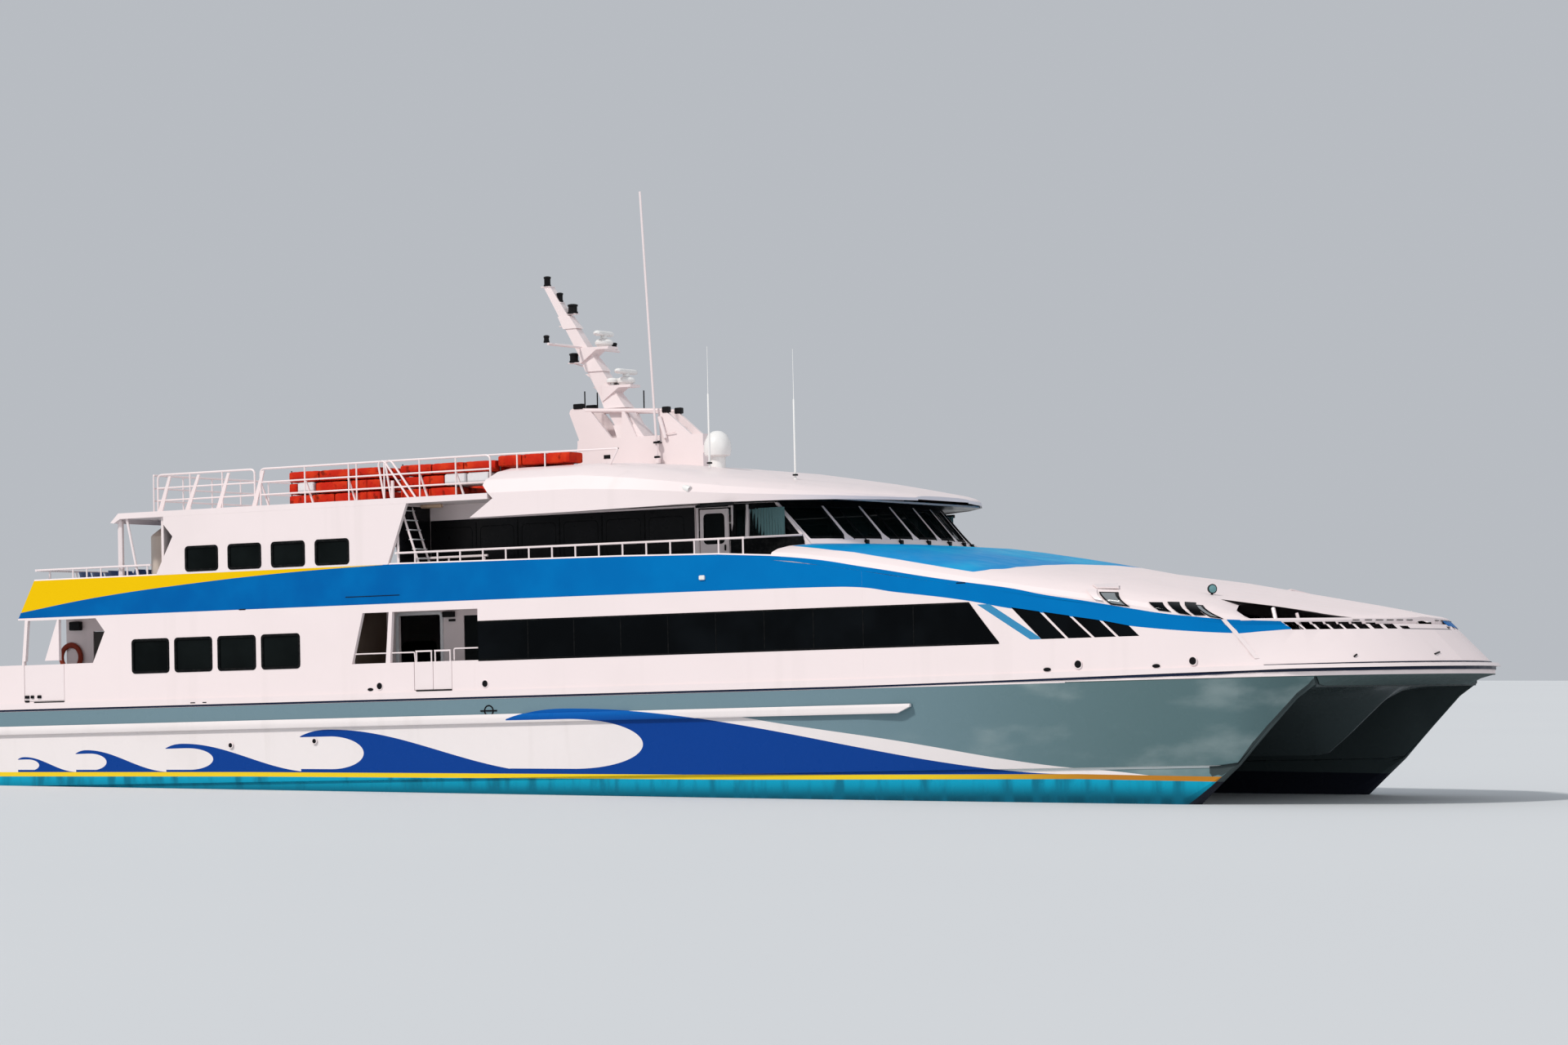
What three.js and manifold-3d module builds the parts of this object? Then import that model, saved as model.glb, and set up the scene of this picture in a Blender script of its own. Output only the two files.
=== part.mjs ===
// Passenger catamaran ferry, 1:2 scale model.
// Every length below is a metre of the real ship: X forward, Y to port, Z up.
// The origin is amidships on the centre line, in the plane of the water.
import * as THREE from 'three';
import { mergeVertices } from 'three/addons/utils/BufferGeometryUtils.js';
import Module from 'manifold-3d';

const wasm = await Module();
wasm.setup();

// Scale and clearances
const MM_PER_METRE = 500;
const GAP = 0.001;
const SLIT = 0.016;

// Driving dimensions of the hull
const STERN_X = -22.1;
const BOW_X = 21.5;
const HALF_BEAM = 6.1;
const HULL_Y = 4.8;
const KEEL_Z = -1.5;
const CHINE_Z = 0.46;
const WET_DECK_Z = 1.75;
const KNUCKLE_Z = 2.44;
const DECK_Z = 2.65;
const STEM_TOP_X = 19.75;

// Driving dimensions of the houses
const SILL_Z = 3.42;
const WINDOW_TOP_Z = 4.37;
const UPPER_DECK_LOW_Z = 4.94;
const UPPER_DECK_Z = 5.10;
const BULWARK_TOP_Z = 5.92;
const ROOF_LOW_Z = 7.45;
const ROOF_Z = 7.60;
const WALL = 0.10;
const MID_SEAM_X = -2.62;
const FORE_SEAM_X = 8.63;
const SIDE_DECK_END_X = 6.10;
const CABIN_Y = 4.60;
const AFT_HOUSE_X = -12.60;
const AFT_HOUSE_FRONT_X = -4.95;
const COWL_X = -2.14;

// Colours
const PAINT_WHITE = 0xeee8e4;
const HULL_GREEN = 0x8fa5a3;
const BAND_BLUE = 0x1560bd;
const GLASS_BLACK = 0x0b0f12;
const FLOAT_RED = 0xd8341c;
const DECK_GREY = 0x9aa0a2;
const BRONZE = 0xb08d57;
const CONSOLE_GREY = 0x30343a;
const SEAT_BLUE = 0x1d3f86;

// Small helpers on numbers
function lerpTable(table, x) {
  if (x <= table[0][0]) return table[0][1];
  for (let i = 1; i < table.length; i += 1) {
    const [x0, y0] = table[i - 1];
    const [x1, y1] = table[i];
    if (x <= x1) return y0 + ((y1 - y0) * (x - x0)) / (x1 - x0);
  }
  return table[table.length - 1][1];
}

function smooth(t) {
  const u = Math.min(1, Math.max(0, t));
  return u * u * (3 - 2 * u);
}

function range(count, from, step) {
  return Array.from({ length: count }, (_, i) => from + i * step);
}

// Solids: closed meshes that can be joined and cut
function solidOf(geometry) {
  const bare = geometry.clone();
  bare.deleteAttribute('normal');
  bare.deleteAttribute('uv');
  const merged = mergeVertices(bare, 1e-6);
  return new wasm.Manifold(new wasm.Mesh({
    numProp: 3,
    vertProperties: merged.attributes.position.array,
    triVerts: new Uint32Array(merged.index.array),
  }));
}

function geometryOf(solid) {
  const mesh = solid.getMesh();
  const geometry = new THREE.BufferGeometry();
  geometry.setAttribute('position', new THREE.BufferAttribute(mesh.vertProperties, 3));
  geometry.setIndex(new THREE.BufferAttribute(mesh.triVerts, 1));
  geometry.computeVertexNormals();
  return geometry;
}

function join(...solids) {
  return solids.flat().reduce((whole, piece) => whole.add(piece));
}

function cut(solid, ...tools) {
  return tools.flat().reduce((rest, tool) => rest.subtract(tool), solid);
}

// A closed mesh from points and triangles, turned so that its faces point out
function closed(points, triangles) {
  let volume = 0;
  const [a, b, c] = [new THREE.Vector3(), new THREE.Vector3(), new THREE.Vector3()];
  for (const [i, j, k] of triangles) {
    a.set(...points[i]);
    b.set(...points[j]);
    c.set(...points[k]);
    volume += a.dot(b.cross(c));
  }
  const order = volume < 0 ? triangles.map(([i, j, k]) => [i, k, j]) : triangles;
  const geometry = new THREE.BufferGeometry();
  geometry.setAttribute('position', new THREE.Float32BufferAttribute(points.flat(), 3));
  geometry.setIndex(order.flat());
  return solidOf(geometry);
}

function block(x0, x1, y0, y1, z0, z1) {
  const geometry = new THREE.BoxGeometry(x1 - x0, y1 - y0, z1 - z0);
  geometry.translate((x0 + x1) / 2, (y0 + y1) / 2, (z0 + z1) / 2);
  return solidOf(geometry);
}

function extruded(points, depth) {
  const shape = new THREE.Shape(points.map(([u, v]) => new THREE.Vector2(u, v)));
  return new THREE.ExtrudeGeometry(shape, { depth, bevelEnabled: false });
}

// An outline in X and Z, carried along Y
function profileXZ(points, y0, y1) {
  const geometry = extruded(points, y1 - y0);
  geometry.rotateX(Math.PI / 2);
  geometry.translate(0, y1, 0);
  return solidOf(geometry);
}

// An outline in Y and Z, carried along X
function profileYZ(points, x0, x1) {
  const geometry = extruded(points, x1 - x0);
  geometry.applyMatrix4(new THREE.Matrix4().makeBasis(
    new THREE.Vector3(0, 1, 0),
    new THREE.Vector3(0, 0, 1),
    new THREE.Vector3(1, 0, 0),
  ));
  geometry.translate(x0, 0, 0);
  return solidOf(geometry);
}

// An outline in X and Y, carried up
function profileXY(points, z0, z1) {
  const geometry = extruded(points, z1 - z0);
  geometry.translate(0, 0, z0);
  return solidOf(geometry);
}

// A round bar between two points
function bar(from, to, radius, sides = 6) {
  const a = new THREE.Vector3(...from);
  const b = new THREE.Vector3(...to);
  const geometry = new THREE.CylinderGeometry(radius, radius, a.distanceTo(b), sides);
  const turn = new THREE.Quaternion().setFromUnitVectors(
    new THREE.Vector3(0, 1, 0),
    b.clone().sub(a).normalize(),
  );
  geometry.applyQuaternion(turn);
  geometry.translate((a.x + b.x) / 2, (a.y + b.y) / 2, (a.z + b.z) / 2);
  return solidOf(geometry);
}

// A solid between two grids of points, the outer skin and the inner skin
function plateBetween(outer, inner) {
  const rows = outer.length;
  const columns = outer[0].length;
  const points = [...outer.flat(), ...inner.flat()];
  const at = (skin, i, j) => skin * rows * columns + i * columns + j;
  const triangles = [];
  const quad = (p, q, r, s) => triangles.push([p, q, r], [p, r, s]);
  for (let i = 0; i + 1 < rows; i += 1) {
    for (let j = 0; j + 1 < columns; j += 1) {
      quad(at(0, i, j), at(0, i + 1, j), at(0, i + 1, j + 1), at(0, i, j + 1));
      quad(at(1, i, j), at(1, i, j + 1), at(1, i + 1, j + 1), at(1, i + 1, j));
    }
  }
  for (let i = 0; i + 1 < rows; i += 1) {
    quad(at(0, i, 0), at(1, i, 0), at(1, i + 1, 0), at(0, i + 1, 0));
    const last = columns - 1;
    quad(at(0, i, last), at(0, i + 1, last), at(1, i + 1, last), at(1, i, last));
  }
  for (let j = 0; j + 1 < columns; j += 1) {
    quad(at(0, 0, j), at(0, 0, j + 1), at(1, 0, j + 1), at(1, 0, j));
    const last = rows - 1;
    quad(at(0, last, j), at(1, last, j), at(1, last, j + 1), at(0, last, j + 1));
  }
  return closed(points, triangles);
}

// A solid through closed rings of points, with a fan at each end
function loft(rings) {
  const count = rings[0].length;
  const centre = (ring) => [0, 1, 2].map((k) => ring.reduce((sum, p) => sum + p[k], 0) / count);
  const points = [...rings.flat(), centre(rings[0]), centre(rings[rings.length - 1])];
  const triangles = [];
  for (let i = 0; i + 1 < rings.length; i += 1) {
    for (let j = 0; j < count; j += 1) {
      const next = (j + 1) % count;
      const [p, q] = [i * count + j, i * count + next];
      const [r, s] = [p + count, q + count];
      triangles.push([p, r, s], [p, s, q]);
    }
  }
  const [first, last] = [points.length - 2, points.length - 1];
  const end = (rings.length - 1) * count;
  for (let j = 0; j < count; j += 1) {
    const next = (j + 1) % count;
    triangles.push([first, j, next], [last, end + next, end + j]);
  }
  return closed(points, triangles);
}

// The same solid on the other side of the centre line
function mirrored(solid) {
  const mesh = solid.getMesh();
  const points = [];
  const triangles = [];
  for (let i = 0; i < mesh.vertProperties.length; i += 3) {
    const [x, y, z] = mesh.vertProperties.slice(i, i + 3);
    points.push([x, -y, z]);
  }
  for (let i = 0; i < mesh.triVerts.length; i += 3) {
    triangles.push([...mesh.triVerts.slice(i, i + 3)]);
  }
  return closed(points, triangles);
}

// The model and its pieces
const ferry = new THREE.Group();
ferry.name = 'passenger_ferry';
ferry.scale.setScalar(MM_PER_METRE);

function piece(name, solid, color, roughness = 0.45, metalness = 0) {
  const material = new THREE.MeshStandardMaterial({ color, roughness, metalness });
  const mesh = new THREE.Mesh(geometryOf(solid), material);
  mesh.name = name;
  ferry.add(mesh);
  return mesh;
}

// One piece on each side, drawn on the starboard side
function pair(name, solid, color, roughness, metalness) {
  piece(`${name}_starboard`, solid, color, roughness, metalness);
  piece(`${name}_port`, mirrored(solid), color, roughness, metalness);
}

// Plan outline of the hull at deck height: straight sides, then a full round bow
const BOW_START_X = 12.0;
const BOW_POWER = 5;

function halfBreadth(x) {
  const t = Math.max(0, (x - BOW_START_X) / (BOW_X - BOW_START_X));
  return HALF_BEAM * Math.sqrt(Math.max(0, 1 - t ** BOW_POWER));
}

// Base stations round the bow, by the angle whose cosine is the half-breadth
const BOW_ANGLES = [5, 10, 15, 20, 25, 30, 37, 45, 54, 63, 72, 81];
const bowStations = BOW_ANGLES.map((degrees) => {
  const sine = Math.sin((degrees * Math.PI) / 180);
  return BOW_START_X + (BOW_X - BOW_START_X) * sine ** (2 / BOW_POWER);
});

// Outward normal of the plan outline on the starboard side
function outlineNormal(x) {
  const step = 0.002;
  const x0 = Math.min(x, BOW_X - step);
  const slope = (halfBreadth(x0 + step) - halfBreadth(x0 - step)) / (2 * step);
  const length = Math.hypot(slope, 1);
  return [-slope / length, -1 / length];
}

// Tumblehome: the bow face leans in above the deck, the flat sides do not
const EDGE_Z = 3.75;
const BOW_LEAN = 1.05;
const LEAN_START_X = 17.3;
const LEAN_FULL_X = 20.6;

function bowSkin(x, z, inset = 0) {
  const lean = BOW_LEAN * smooth((x - LEAN_START_X) / (LEAN_FULL_X - LEAN_START_X));
  const inward = inset + (lean * (z - DECK_Z)) / (EDGE_Z - DECK_Z);
  const [nx, ny] = x >= BOW_X ? [1, 0] : outlineNormal(x);
  return [x - nx * inward, Math.min(0, -halfBreadth(x) - ny * inward), z];
}

// Columns: X of the station, height of the shoulder edge, height of the crown
const SHOULDER = [
  [6.1, 5.70, 6.08],
  [6.72, 5.64, 6.06],
  [8.15, 5.42, 5.98],
  [9.4, 5.22, 5.77],
  [10.4, 5.04, 5.59],
  [12.3, 4.74, 5.20],
  [13.9, 4.48, 4.98],
  [15.6, 4.22, 4.65],
  [17.3, 3.90, 4.33],
  [18.3, 3.75, 4.15],
  [19.1, 3.75, 4.00],
  [20.3, 3.75, 3.84],
  [21.0, 3.75, 3.77],
];
const shoulderTable = SHOULDER.map(([x, edge]) => [x, edge]);
const crownTable = SHOULDER.map(([x, , crown]) => [x, crown]);
const shoulder = (x) => lerpTable(shoulderTable, x);
const crown = (x) => lerpTable(crownTable, x);

// Demihulls: round bilge, a low chine ledge, straight topsides up to the knuckle
// Columns: X of the station, height of the keel line
const KEEL_LINE = [
  [-22.1, -0.62],
  [-12, KEEL_Z],
  [13, KEEL_Z],
  [15.4, -1.2],
  [16.2, -0.9],
  [16.8, -0.45],
  [17.8, 0.43],
  [18.6, 1.25],
  [19.3, 1.95],
  [STEM_TOP_X, 2.25],
];
const HULL_STATIONS = [
  -22.1, -17, -12, -4, 4, 7, 9.5, 11.5, 13, 14.3, 15.4, 16.2, 16.8, 17.3, 17.8, 18.2, 18.6, 19, 19.3,
  19.6, STEM_TOP_X,
];
const CHINE_HALF = 1.24;
const LEDGE = 0.07;
const STEM_HALF = 0.03;

function chineHalf(x) {
  const t = Math.max(0, (x - 3) / 15.3);
  return STEM_HALF + (CHINE_HALF - STEM_HALF) * Math.max(0, 1 - t ** 2);
}

function topInner(x) {
  const t = Math.max(0, (x - 6) / (STEM_TOP_X - 6));
  return STEM_HALF + (1.3 - STEM_HALF) * Math.max(0, 1 - t ** 2);
}

function topOuter(x) {
  return Math.max(STEM_HALF, Math.min(1.3, halfBreadth(x) - HULL_Y));
}

// Half-breadths from the keel up at one station
function hullSection(x) {
  const keel = lerpTable(KEEL_LINE, x);
  const chine = Math.max(CHINE_Z, keel + 0.08);
  const side = chineHalf(x);
  const depth = chine - keel;
  const low = [
    [0.05 * side, keel],
    [0.5 * side, keel + 0.10 * depth],
    [0.8 * side, keel + 0.33 * depth],
    [Math.max(STEM_HALF, side - LEDGE), keel + 0.72 * depth],
    [Math.max(STEM_HALF, side - LEDGE), chine - 0.35 * Math.min(LEDGE, depth)],
    [side, chine],
  ];
  return { low, chine };
}

function hullRing(x) {
  const { low } = hullSection(x);
  const outboard = low.map(([half, z]) => [x, -HULL_Y - half, z]);
  const inboard = low.map(([half, z]) => [x, -HULL_Y + half, z]).reverse();
  const top = KNUCKLE_Z - GAP;
  return [
    ...outboard,
    [x, -HULL_Y - topOuter(x), top],
    [x, -HULL_Y + topInner(x), top],
    ...inboard,
  ];
}

// Rub strake: a white half-round bar welded along each hull
const STRAKE = { fromX: -22.0, toX: 9.9, lowZ: 1.83, highZ: 2.05, proud: 0.09 };

function strake() {
  const { fromX, toX, lowZ, highZ, proud } = STRAKE;
  const y = -HALF_BEAM + 0.12;
  const bevel = proud * 0.6;
  const outline = [
    [y, lowZ],
    [y, highZ],
    [-HALF_BEAM - proud + bevel * 0.4, highZ],
    [-HALF_BEAM - proud, highZ - bevel],
    [-HALF_BEAM - proud, lowZ + bevel],
    [-HALF_BEAM - proud + bevel * 0.4, lowZ],
  ];
  const body = profileYZ(outline, fromX, toX);
  const nose = profileXZ([
    [toX - 0.35, lowZ - 0.1],
    [toX - 0.35, lowZ],
    [toX, lowZ + 0.15],
    [toX, highZ],
    [toX + 0.1, highZ],
    [toX + 0.1, lowZ - 0.1],
  ], -HALF_BEAM - 0.3, -HALF_BEAM + 0.3);
  return cut(body, nose);
}

// Underwater gear: shaft, bracket, propeller and rudder of each hull
const SHAFT = { foreX: -17.9, z: -1.32, radius: 0.05, bore: 0.066 };
const PROP = { x: -20.1, radius: 0.45, hub: 0.10, blades: 4 };
const RUDDER = { stockX: -21.15, lead: 0.28, trail: 0.55, topZ: -0.84, lowZ: -1.78, half: 0.06, stock: 0.05 };
const BRACKET_X = -19.55;

function shaftBracket() {
  const top = lerpTable(KEEL_LINE, BRACKET_X) + 0.35;
  const legs = [-1, 1].map((side) => bar(
    [BRACKET_X, -HULL_Y, SHAFT.z],
    [BRACKET_X, -HULL_Y + side * 0.42, top],
    0.045,
  ));
  const barrel = bar([BRACKET_X - 0.14, -HULL_Y, SHAFT.z], [BRACKET_X + 0.14, -HULL_Y, SHAFT.z], 0.11, 12);
  const bore = bar([BRACKET_X - 0.3, -HULL_Y, SHAFT.z], [BRACKET_X + 0.3, -HULL_Y, SHAFT.z], SHAFT.bore, 12);
  return { strut: join(legs, barrel), bore };
}

function demihull() {
  const body = loft(HULL_STATIONS.map(hullRing));
  const { strut, bore } = shaftBracket();
  const stern = bar([-17.7, -HULL_Y, SHAFT.z], [-19.2, -HULL_Y, SHAFT.z], SHAFT.bore, 12);
  const boss = bar([-17.0, -HULL_Y, SHAFT.z], [-18.2, -HULL_Y, SHAFT.z], 0.13, 12);
  const skeg = profileXZ([
    [-14, -1.2],
    [-18.15, -0.6],
    [-18.15, SHAFT.z - 0.12],
    [-17.2, -1.5],
    [-14, -1.45],
  ], -HULL_Y - 0.09, -HULL_Y + 0.09);
  return cut(join(body, strake(), strut, boss, skeg), bore, stern);
}

pair('hull', demihull(), HULL_GREEN, 0.35);

function propeller() {
  const hub = bar([PROP.x - 0.14, -HULL_Y, SHAFT.z], [PROP.x + 0.16, -HULL_Y, SHAFT.z], PROP.hub, 12);
  const tail = bar([PROP.x - 0.10, -HULL_Y, SHAFT.z], [SHAFT.foreX, -HULL_Y, SHAFT.z], SHAFT.radius, 10);
  const blades = range(PROP.blades, 0, 1).map((k) => {
    const blade = new THREE.Shape();
    blade.moveTo(-0.07, 0.06);
    blade.bezierCurveTo(-0.26, 0.2, -0.24, 0.42, 0, PROP.radius);
    blade.bezierCurveTo(0.24, 0.42, 0.26, 0.2, 0.07, 0.06);
    const geometry = new THREE.ExtrudeGeometry(blade, {
      depth: 0.03, bevelEnabled: false, curveSegments: 5,
    });
    geometry.translate(0, 0, -0.015);
    geometry.rotateY(Math.PI / 2 - 0.55);
    geometry.rotateX((k * 2 * Math.PI) / PROP.blades);
    geometry.translate(PROP.x, -HULL_Y, SHAFT.z);
    return solidOf(geometry);
  });
  return join(hub, tail, blades);
}

pair('propeller', propeller(), BRONZE, 0.35, 0.8);

function rudder() {
  const { stockX, lead, trail, topZ, lowZ, half, stock } = RUDDER;
  const nose = stockX + lead;
  const tail = stockX - trail;
  const blade = profileXY([
    [nose, -HULL_Y],
    [nose - 0.12, -HULL_Y - half],
    [stockX - 0.1, -HULL_Y - half],
    [tail, -HULL_Y - 0.012],
    [tail, -HULL_Y + 0.012],
    [stockX - 0.1, -HULL_Y + half],
    [nose - 0.12, -HULL_Y + half],
  ], lowZ, topZ);
  return join(blade, bar([stockX, -HULL_Y, topZ - 0.05], [stockX, -HULL_Y, topZ + 0.12], stock, 10));
}

pair('rudder', rudder(), HULL_GREEN, 0.5);

// Bridge deck between the hulls: a flat wet deck with a V-shaped nacelle forward
const NACELLE_START_X = 3.0;
const WET_DECK_BOW_Z = 2.2;
// Columns: X of the station, height of the nacelle keel, half-breadth of its bottom
const NACELLE = [
  [STERN_X, WET_DECK_Z, 0.3],
  [NACELLE_START_X, WET_DECK_Z - 0.02, 0.3],
  [8, 1.05, 0.25],
  [13, 0.62, 0.2],
  [17.6, 0.60, 0.08],
  [17.9, 0.66, 0.05],
  [18.4, 1.05, 0.04],
  [19.3, 1.83, 0.04],
  [STEM_TOP_X, 2.19, 0.04],
];

function bridgeRing([x, keel, bottom]) {
  const wet = x < 14 ? WET_DECK_Z : WET_DECK_Z + (WET_DECK_BOW_Z - WET_DECK_Z) * smooth((x - 14) / 5.5);
  const clear = 0.02;
  const { low, chine } = hullSection(x);
  const atChine = low[low.length - 1][0];
  const share = (wet - chine) / (KNUCKLE_Z - chine);
  const wetHalf = HULL_Y - (atChine + (topInner(x) - atChine) * share) - clear;
  const topHalf = HULL_Y - topInner(x) - clear;
  const top = KNUCKLE_Z - GAP;
  const shoulderHalf = Math.min(1.9, wetHalf - 0.4);
  const rise = wet - keel;
  const half = [
    [topHalf, top],
    [wetHalf, wet],
    [shoulderHalf, wet],
    [bottom + (shoulderHalf - bottom) * 0.42, keel + rise * 0.62],
    [bottom + (shoulderHalf - bottom) * 0.12, keel + rise * 0.2],
    [bottom, keel],
  ];
  return [
    ...half.map(([y, z]) => [x, -y, z]),
    ...half.map(([y, z]) => [x, y, z]).reverse(),
  ];
}

function nacelleStations() {
  const xs = [STERN_X, NACELLE_START_X, 5.5, 8, 10.5, 13, 15, 16.5, 17.6, 17.9, 18.4, 18.8, 19.3, 19.6, STEM_TOP_X];
  const keels = NACELLE.map(([x, keel]) => [x, keel]);
  const bottoms = NACELLE.map(([x, , bottom]) => [x, bottom]);
  return xs.map((x) => [x, lerpTable(keels, x), lerpTable(bottoms, x)]);
}

piece('bridge_deck', loft(nacelleStations().map(bridgeRing)), HULL_GREEN, 0.35);

// Main deck: one plate to the plan outline, with a flare under the overhanging bow
function deckOutline(inset = 0) {
  const side = [[STERN_X + 0.05, -HALF_BEAM + inset], [BOW_START_X, -HALF_BEAM + inset]];
  const bow = bowStations.map((x) => bowSkin(x, DECK_Z, inset).slice(0, 2));
  const starboard = [...side, ...bow];
  const port = starboard.map(([x, y]) => [x, -y]).reverse();
  return [...starboard, [BOW_X - inset, 0], ...port];
}

function bowFlare() {
  const stations = [...bowStations.filter((x) => x > 18.9), BOW_X];
  const aftX = STEM_TOP_X + 0.03;
  const rings = [];
  for (const x of stations) {
    const y = -halfBreadth(x);
    rings.push([x, y]);
  }
  const full = [...rings, ...rings.slice(0, -1).map(([x, y]) => [x, -y]).reverse()];
  const top = full.map(([x, y]) => [x - 0.04, y * 0.995, KNUCKLE_Z + 0.05]);
  const edge = full.map(([x, y]) => [x - 0.04, y * 0.995, KNUCKLE_Z]);
  const low = full.map(([x, y]) => [Math.min(aftX + (x - aftX) * 0.1, x - 0.05), y * 0.96, WET_DECK_BOW_Z + 0.03]);
  const keep = block(aftX, BOW_X + 1, -7, 7, 0, 4);
  return loft([low, edge, top]).intersect(keep);
}

// Raised plates that gangways and bollards stand on. Columns: X, half-length, Y, half-width, height
const DECK_PADS = [
  [-3.90, 0.45, 5.57, 0.27, 0.03],
  [-20.80, 0.35, 5.20, 0.20, 0.04],
  [16.90, 0.35, 4.20, 0.20, 0.04],
];

function deckPads() {
  return DECK_PADS.flatMap(([x, halfX, y, halfY, height]) => [-1, 1].map((side) => block(
    x - halfX, x + halfX, side * y - halfY, side * y + halfY, DECK_Z - 0.02, DECK_Z + height,
  )));
}

piece('main_deck', join(
  profileXY(deckOutline(), KNUCKLE_Z, DECK_Z),
  bowFlare(),
  deckPads(),
), DECK_GREY, 0.7);

// Side walls of the main deck, drawn on the starboard side
const STERN_END_X = -22.0;
const HOUSE_END_X = -17.15;
const BULWARK_Z = 3.68;
const LOBBY_HEAD_Z = 4.71;
const OUTER = -HALF_BEAM;
const INNER = -HALF_BEAM + WALL;

function throughSide(points) {
  return profileXZ(points, OUTER - 0.5, INNER + 0.5);
}

function roundedWindow(x0, x1, z0, z1, r = 0.14) {
  const shape = [];
  const corners = [[x1 - r, z1 - r, 0], [x0 + r, z1 - r, 90], [x0 + r, z0 + r, 180], [x1 - r, z0 + r, 270]];
  for (const [cx, cz, start] of corners) {
    for (const turn of [0, 45, 90]) {
      const angle = ((start + turn) * Math.PI) / 180;
      shape.push([cx + r * Math.cos(angle), cz + r * Math.sin(angle)]);
    }
  }
  return throughSide(shape);
}

// Windows of the aft saloon
const AFT_WINDOW = { count: 4, fromX: -13.56, pitch: 1.42, width: 1.24, lowZ: 3.36, highZ: 4.26 };

// Gates in the bulwarks
const GATE = { midX: -3.90, halfWidth: 0.585, lowZ: 2.70 };
const STERN_GATE = { fromX: -17.24, toX: -15.86, lowZ: 2.70 };

function sideAft() {
  const wall = profileXZ([
    [STERN_END_X, DECK_Z + GAP],
    [MID_SEAM_X - GAP, DECK_Z + GAP],
    [MID_SEAM_X - GAP, UPPER_DECK_LOW_Z - GAP],
    [-17.42, UPPER_DECK_LOW_Z - GAP],
    [-17.42, UPPER_DECK_LOW_Z - 0.06],
    [HOUSE_END_X - 0.04, UPPER_DECK_LOW_Z - 0.06],
    [HOUSE_END_X - 0.16, BULWARK_Z],
    [STERN_END_X, BULWARK_Z],
  ], OUTER, INNER);
  const openings = [
    [[-17.20, BULWARK_Z], [-16.56, BULWARK_Z], [-16.08, 4.86], [-17.09, 4.86]],
    [[-16.03, BULWARK_Z], [-14.88, BULWARK_Z], [-14.47, 4.50], [-14.77, 4.86], [-16.03, 4.86]],
    [[-6.42, SILL_Z], [-5.36, SILL_Z], [-5.24, LOBBY_HEAD_Z], [-6.06, LOBBY_HEAD_Z]],
    [[-5.22, SILL_Z], [MID_SEAM_X + 1, SILL_Z], [MID_SEAM_X + 1, LOBBY_HEAD_Z], [-5.13, LOBBY_HEAD_Z]],
    [
      [GATE.midX - GATE.halfWidth, GATE.lowZ],
      [GATE.midX + GATE.halfWidth, GATE.lowZ],
      [GATE.midX + GATE.halfWidth, SILL_Z + 0.1],
      [GATE.midX - GATE.halfWidth, SILL_Z + 0.1],
    ],
    [
      [STERN_GATE.fromX, STERN_GATE.lowZ],
      [STERN_GATE.toX, STERN_GATE.lowZ],
      [STERN_GATE.toX, BULWARK_Z + 0.1],
      [STERN_GATE.fromX, BULWARK_Z + 0.1],
    ],
  ].map(throughSide);
  const { count, fromX, pitch, width, lowZ, highZ } = AFT_WINDOW;
  const windows = range(count, fromX, pitch).map((x) => roundedWindow(x, x + width, lowZ, highZ));
  return cut(wall, openings, windows);
}

// The window band: a rebate for the bonded panes, and openings between the posts
const BAND = { fromX: -2.50, topX: 11.52, lowX: 12.30, rebate: 0.035, postHalf: 0.05 };
const POSTS = range(9, -0.99, 1.376);

function bandOutline(grow = 0) {
  return [
    [BAND.fromX - grow, SILL_Z - grow],
    [BAND.lowX + grow, SILL_Z - grow],
    [BAND.topX + grow, WINDOW_TOP_Z + grow],
    [BAND.fromX - grow, WINDOW_TOP_Z + grow],
  ];
}

function bandOpenings() {
  const frame = 0.06;
  const edges = [BAND.fromX + frame - BAND.postHalf, ...POSTS, BAND.topX];
  const openings = [];
  for (let i = 0; i + 1 < edges.length; i += 1) {
    const x0 = edges[i] + BAND.postHalf;
    const x1 = edges[i + 1] - BAND.postHalf;
    openings.push(throughSide([
      [x0, SILL_Z + frame],
      [x1, SILL_Z + frame],
      [x1, WINDOW_TOP_Z - frame],
      [x0, WINDOW_TOP_Z - frame],
    ]));
  }
  return openings;
}

function sideMid() {
  const wall = block(MID_SEAM_X, FORE_SEAM_X - GAP, OUTER, INNER, DECK_Z + GAP, UPPER_DECK_LOW_Z - GAP);
  const rebate = profileXZ(bandOutline(0.004), OUTER - 0.5, OUTER + BAND.rebate);
  const lobbyEnd = throughSide([
    [MID_SEAM_X - 1, SILL_Z],
    [BAND.fromX - 0.004, SILL_Z],
    [BAND.fromX - 0.004, LOBBY_HEAD_Z],
    [MID_SEAM_X - 1, LOBBY_HEAD_Z],
  ]);
  return cut(wall, rebate, lobbyEnd, bandOpenings());
}

pair('side_aft', sideAft(), PAINT_WHITE);
pair('side_mid', sideMid(), PAINT_WHITE);
pair('main_windows', profileXZ(bandOutline(), OUTER, OUTER + BAND.rebate - GAP), GLASS_BLACK, 0.08);

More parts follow.
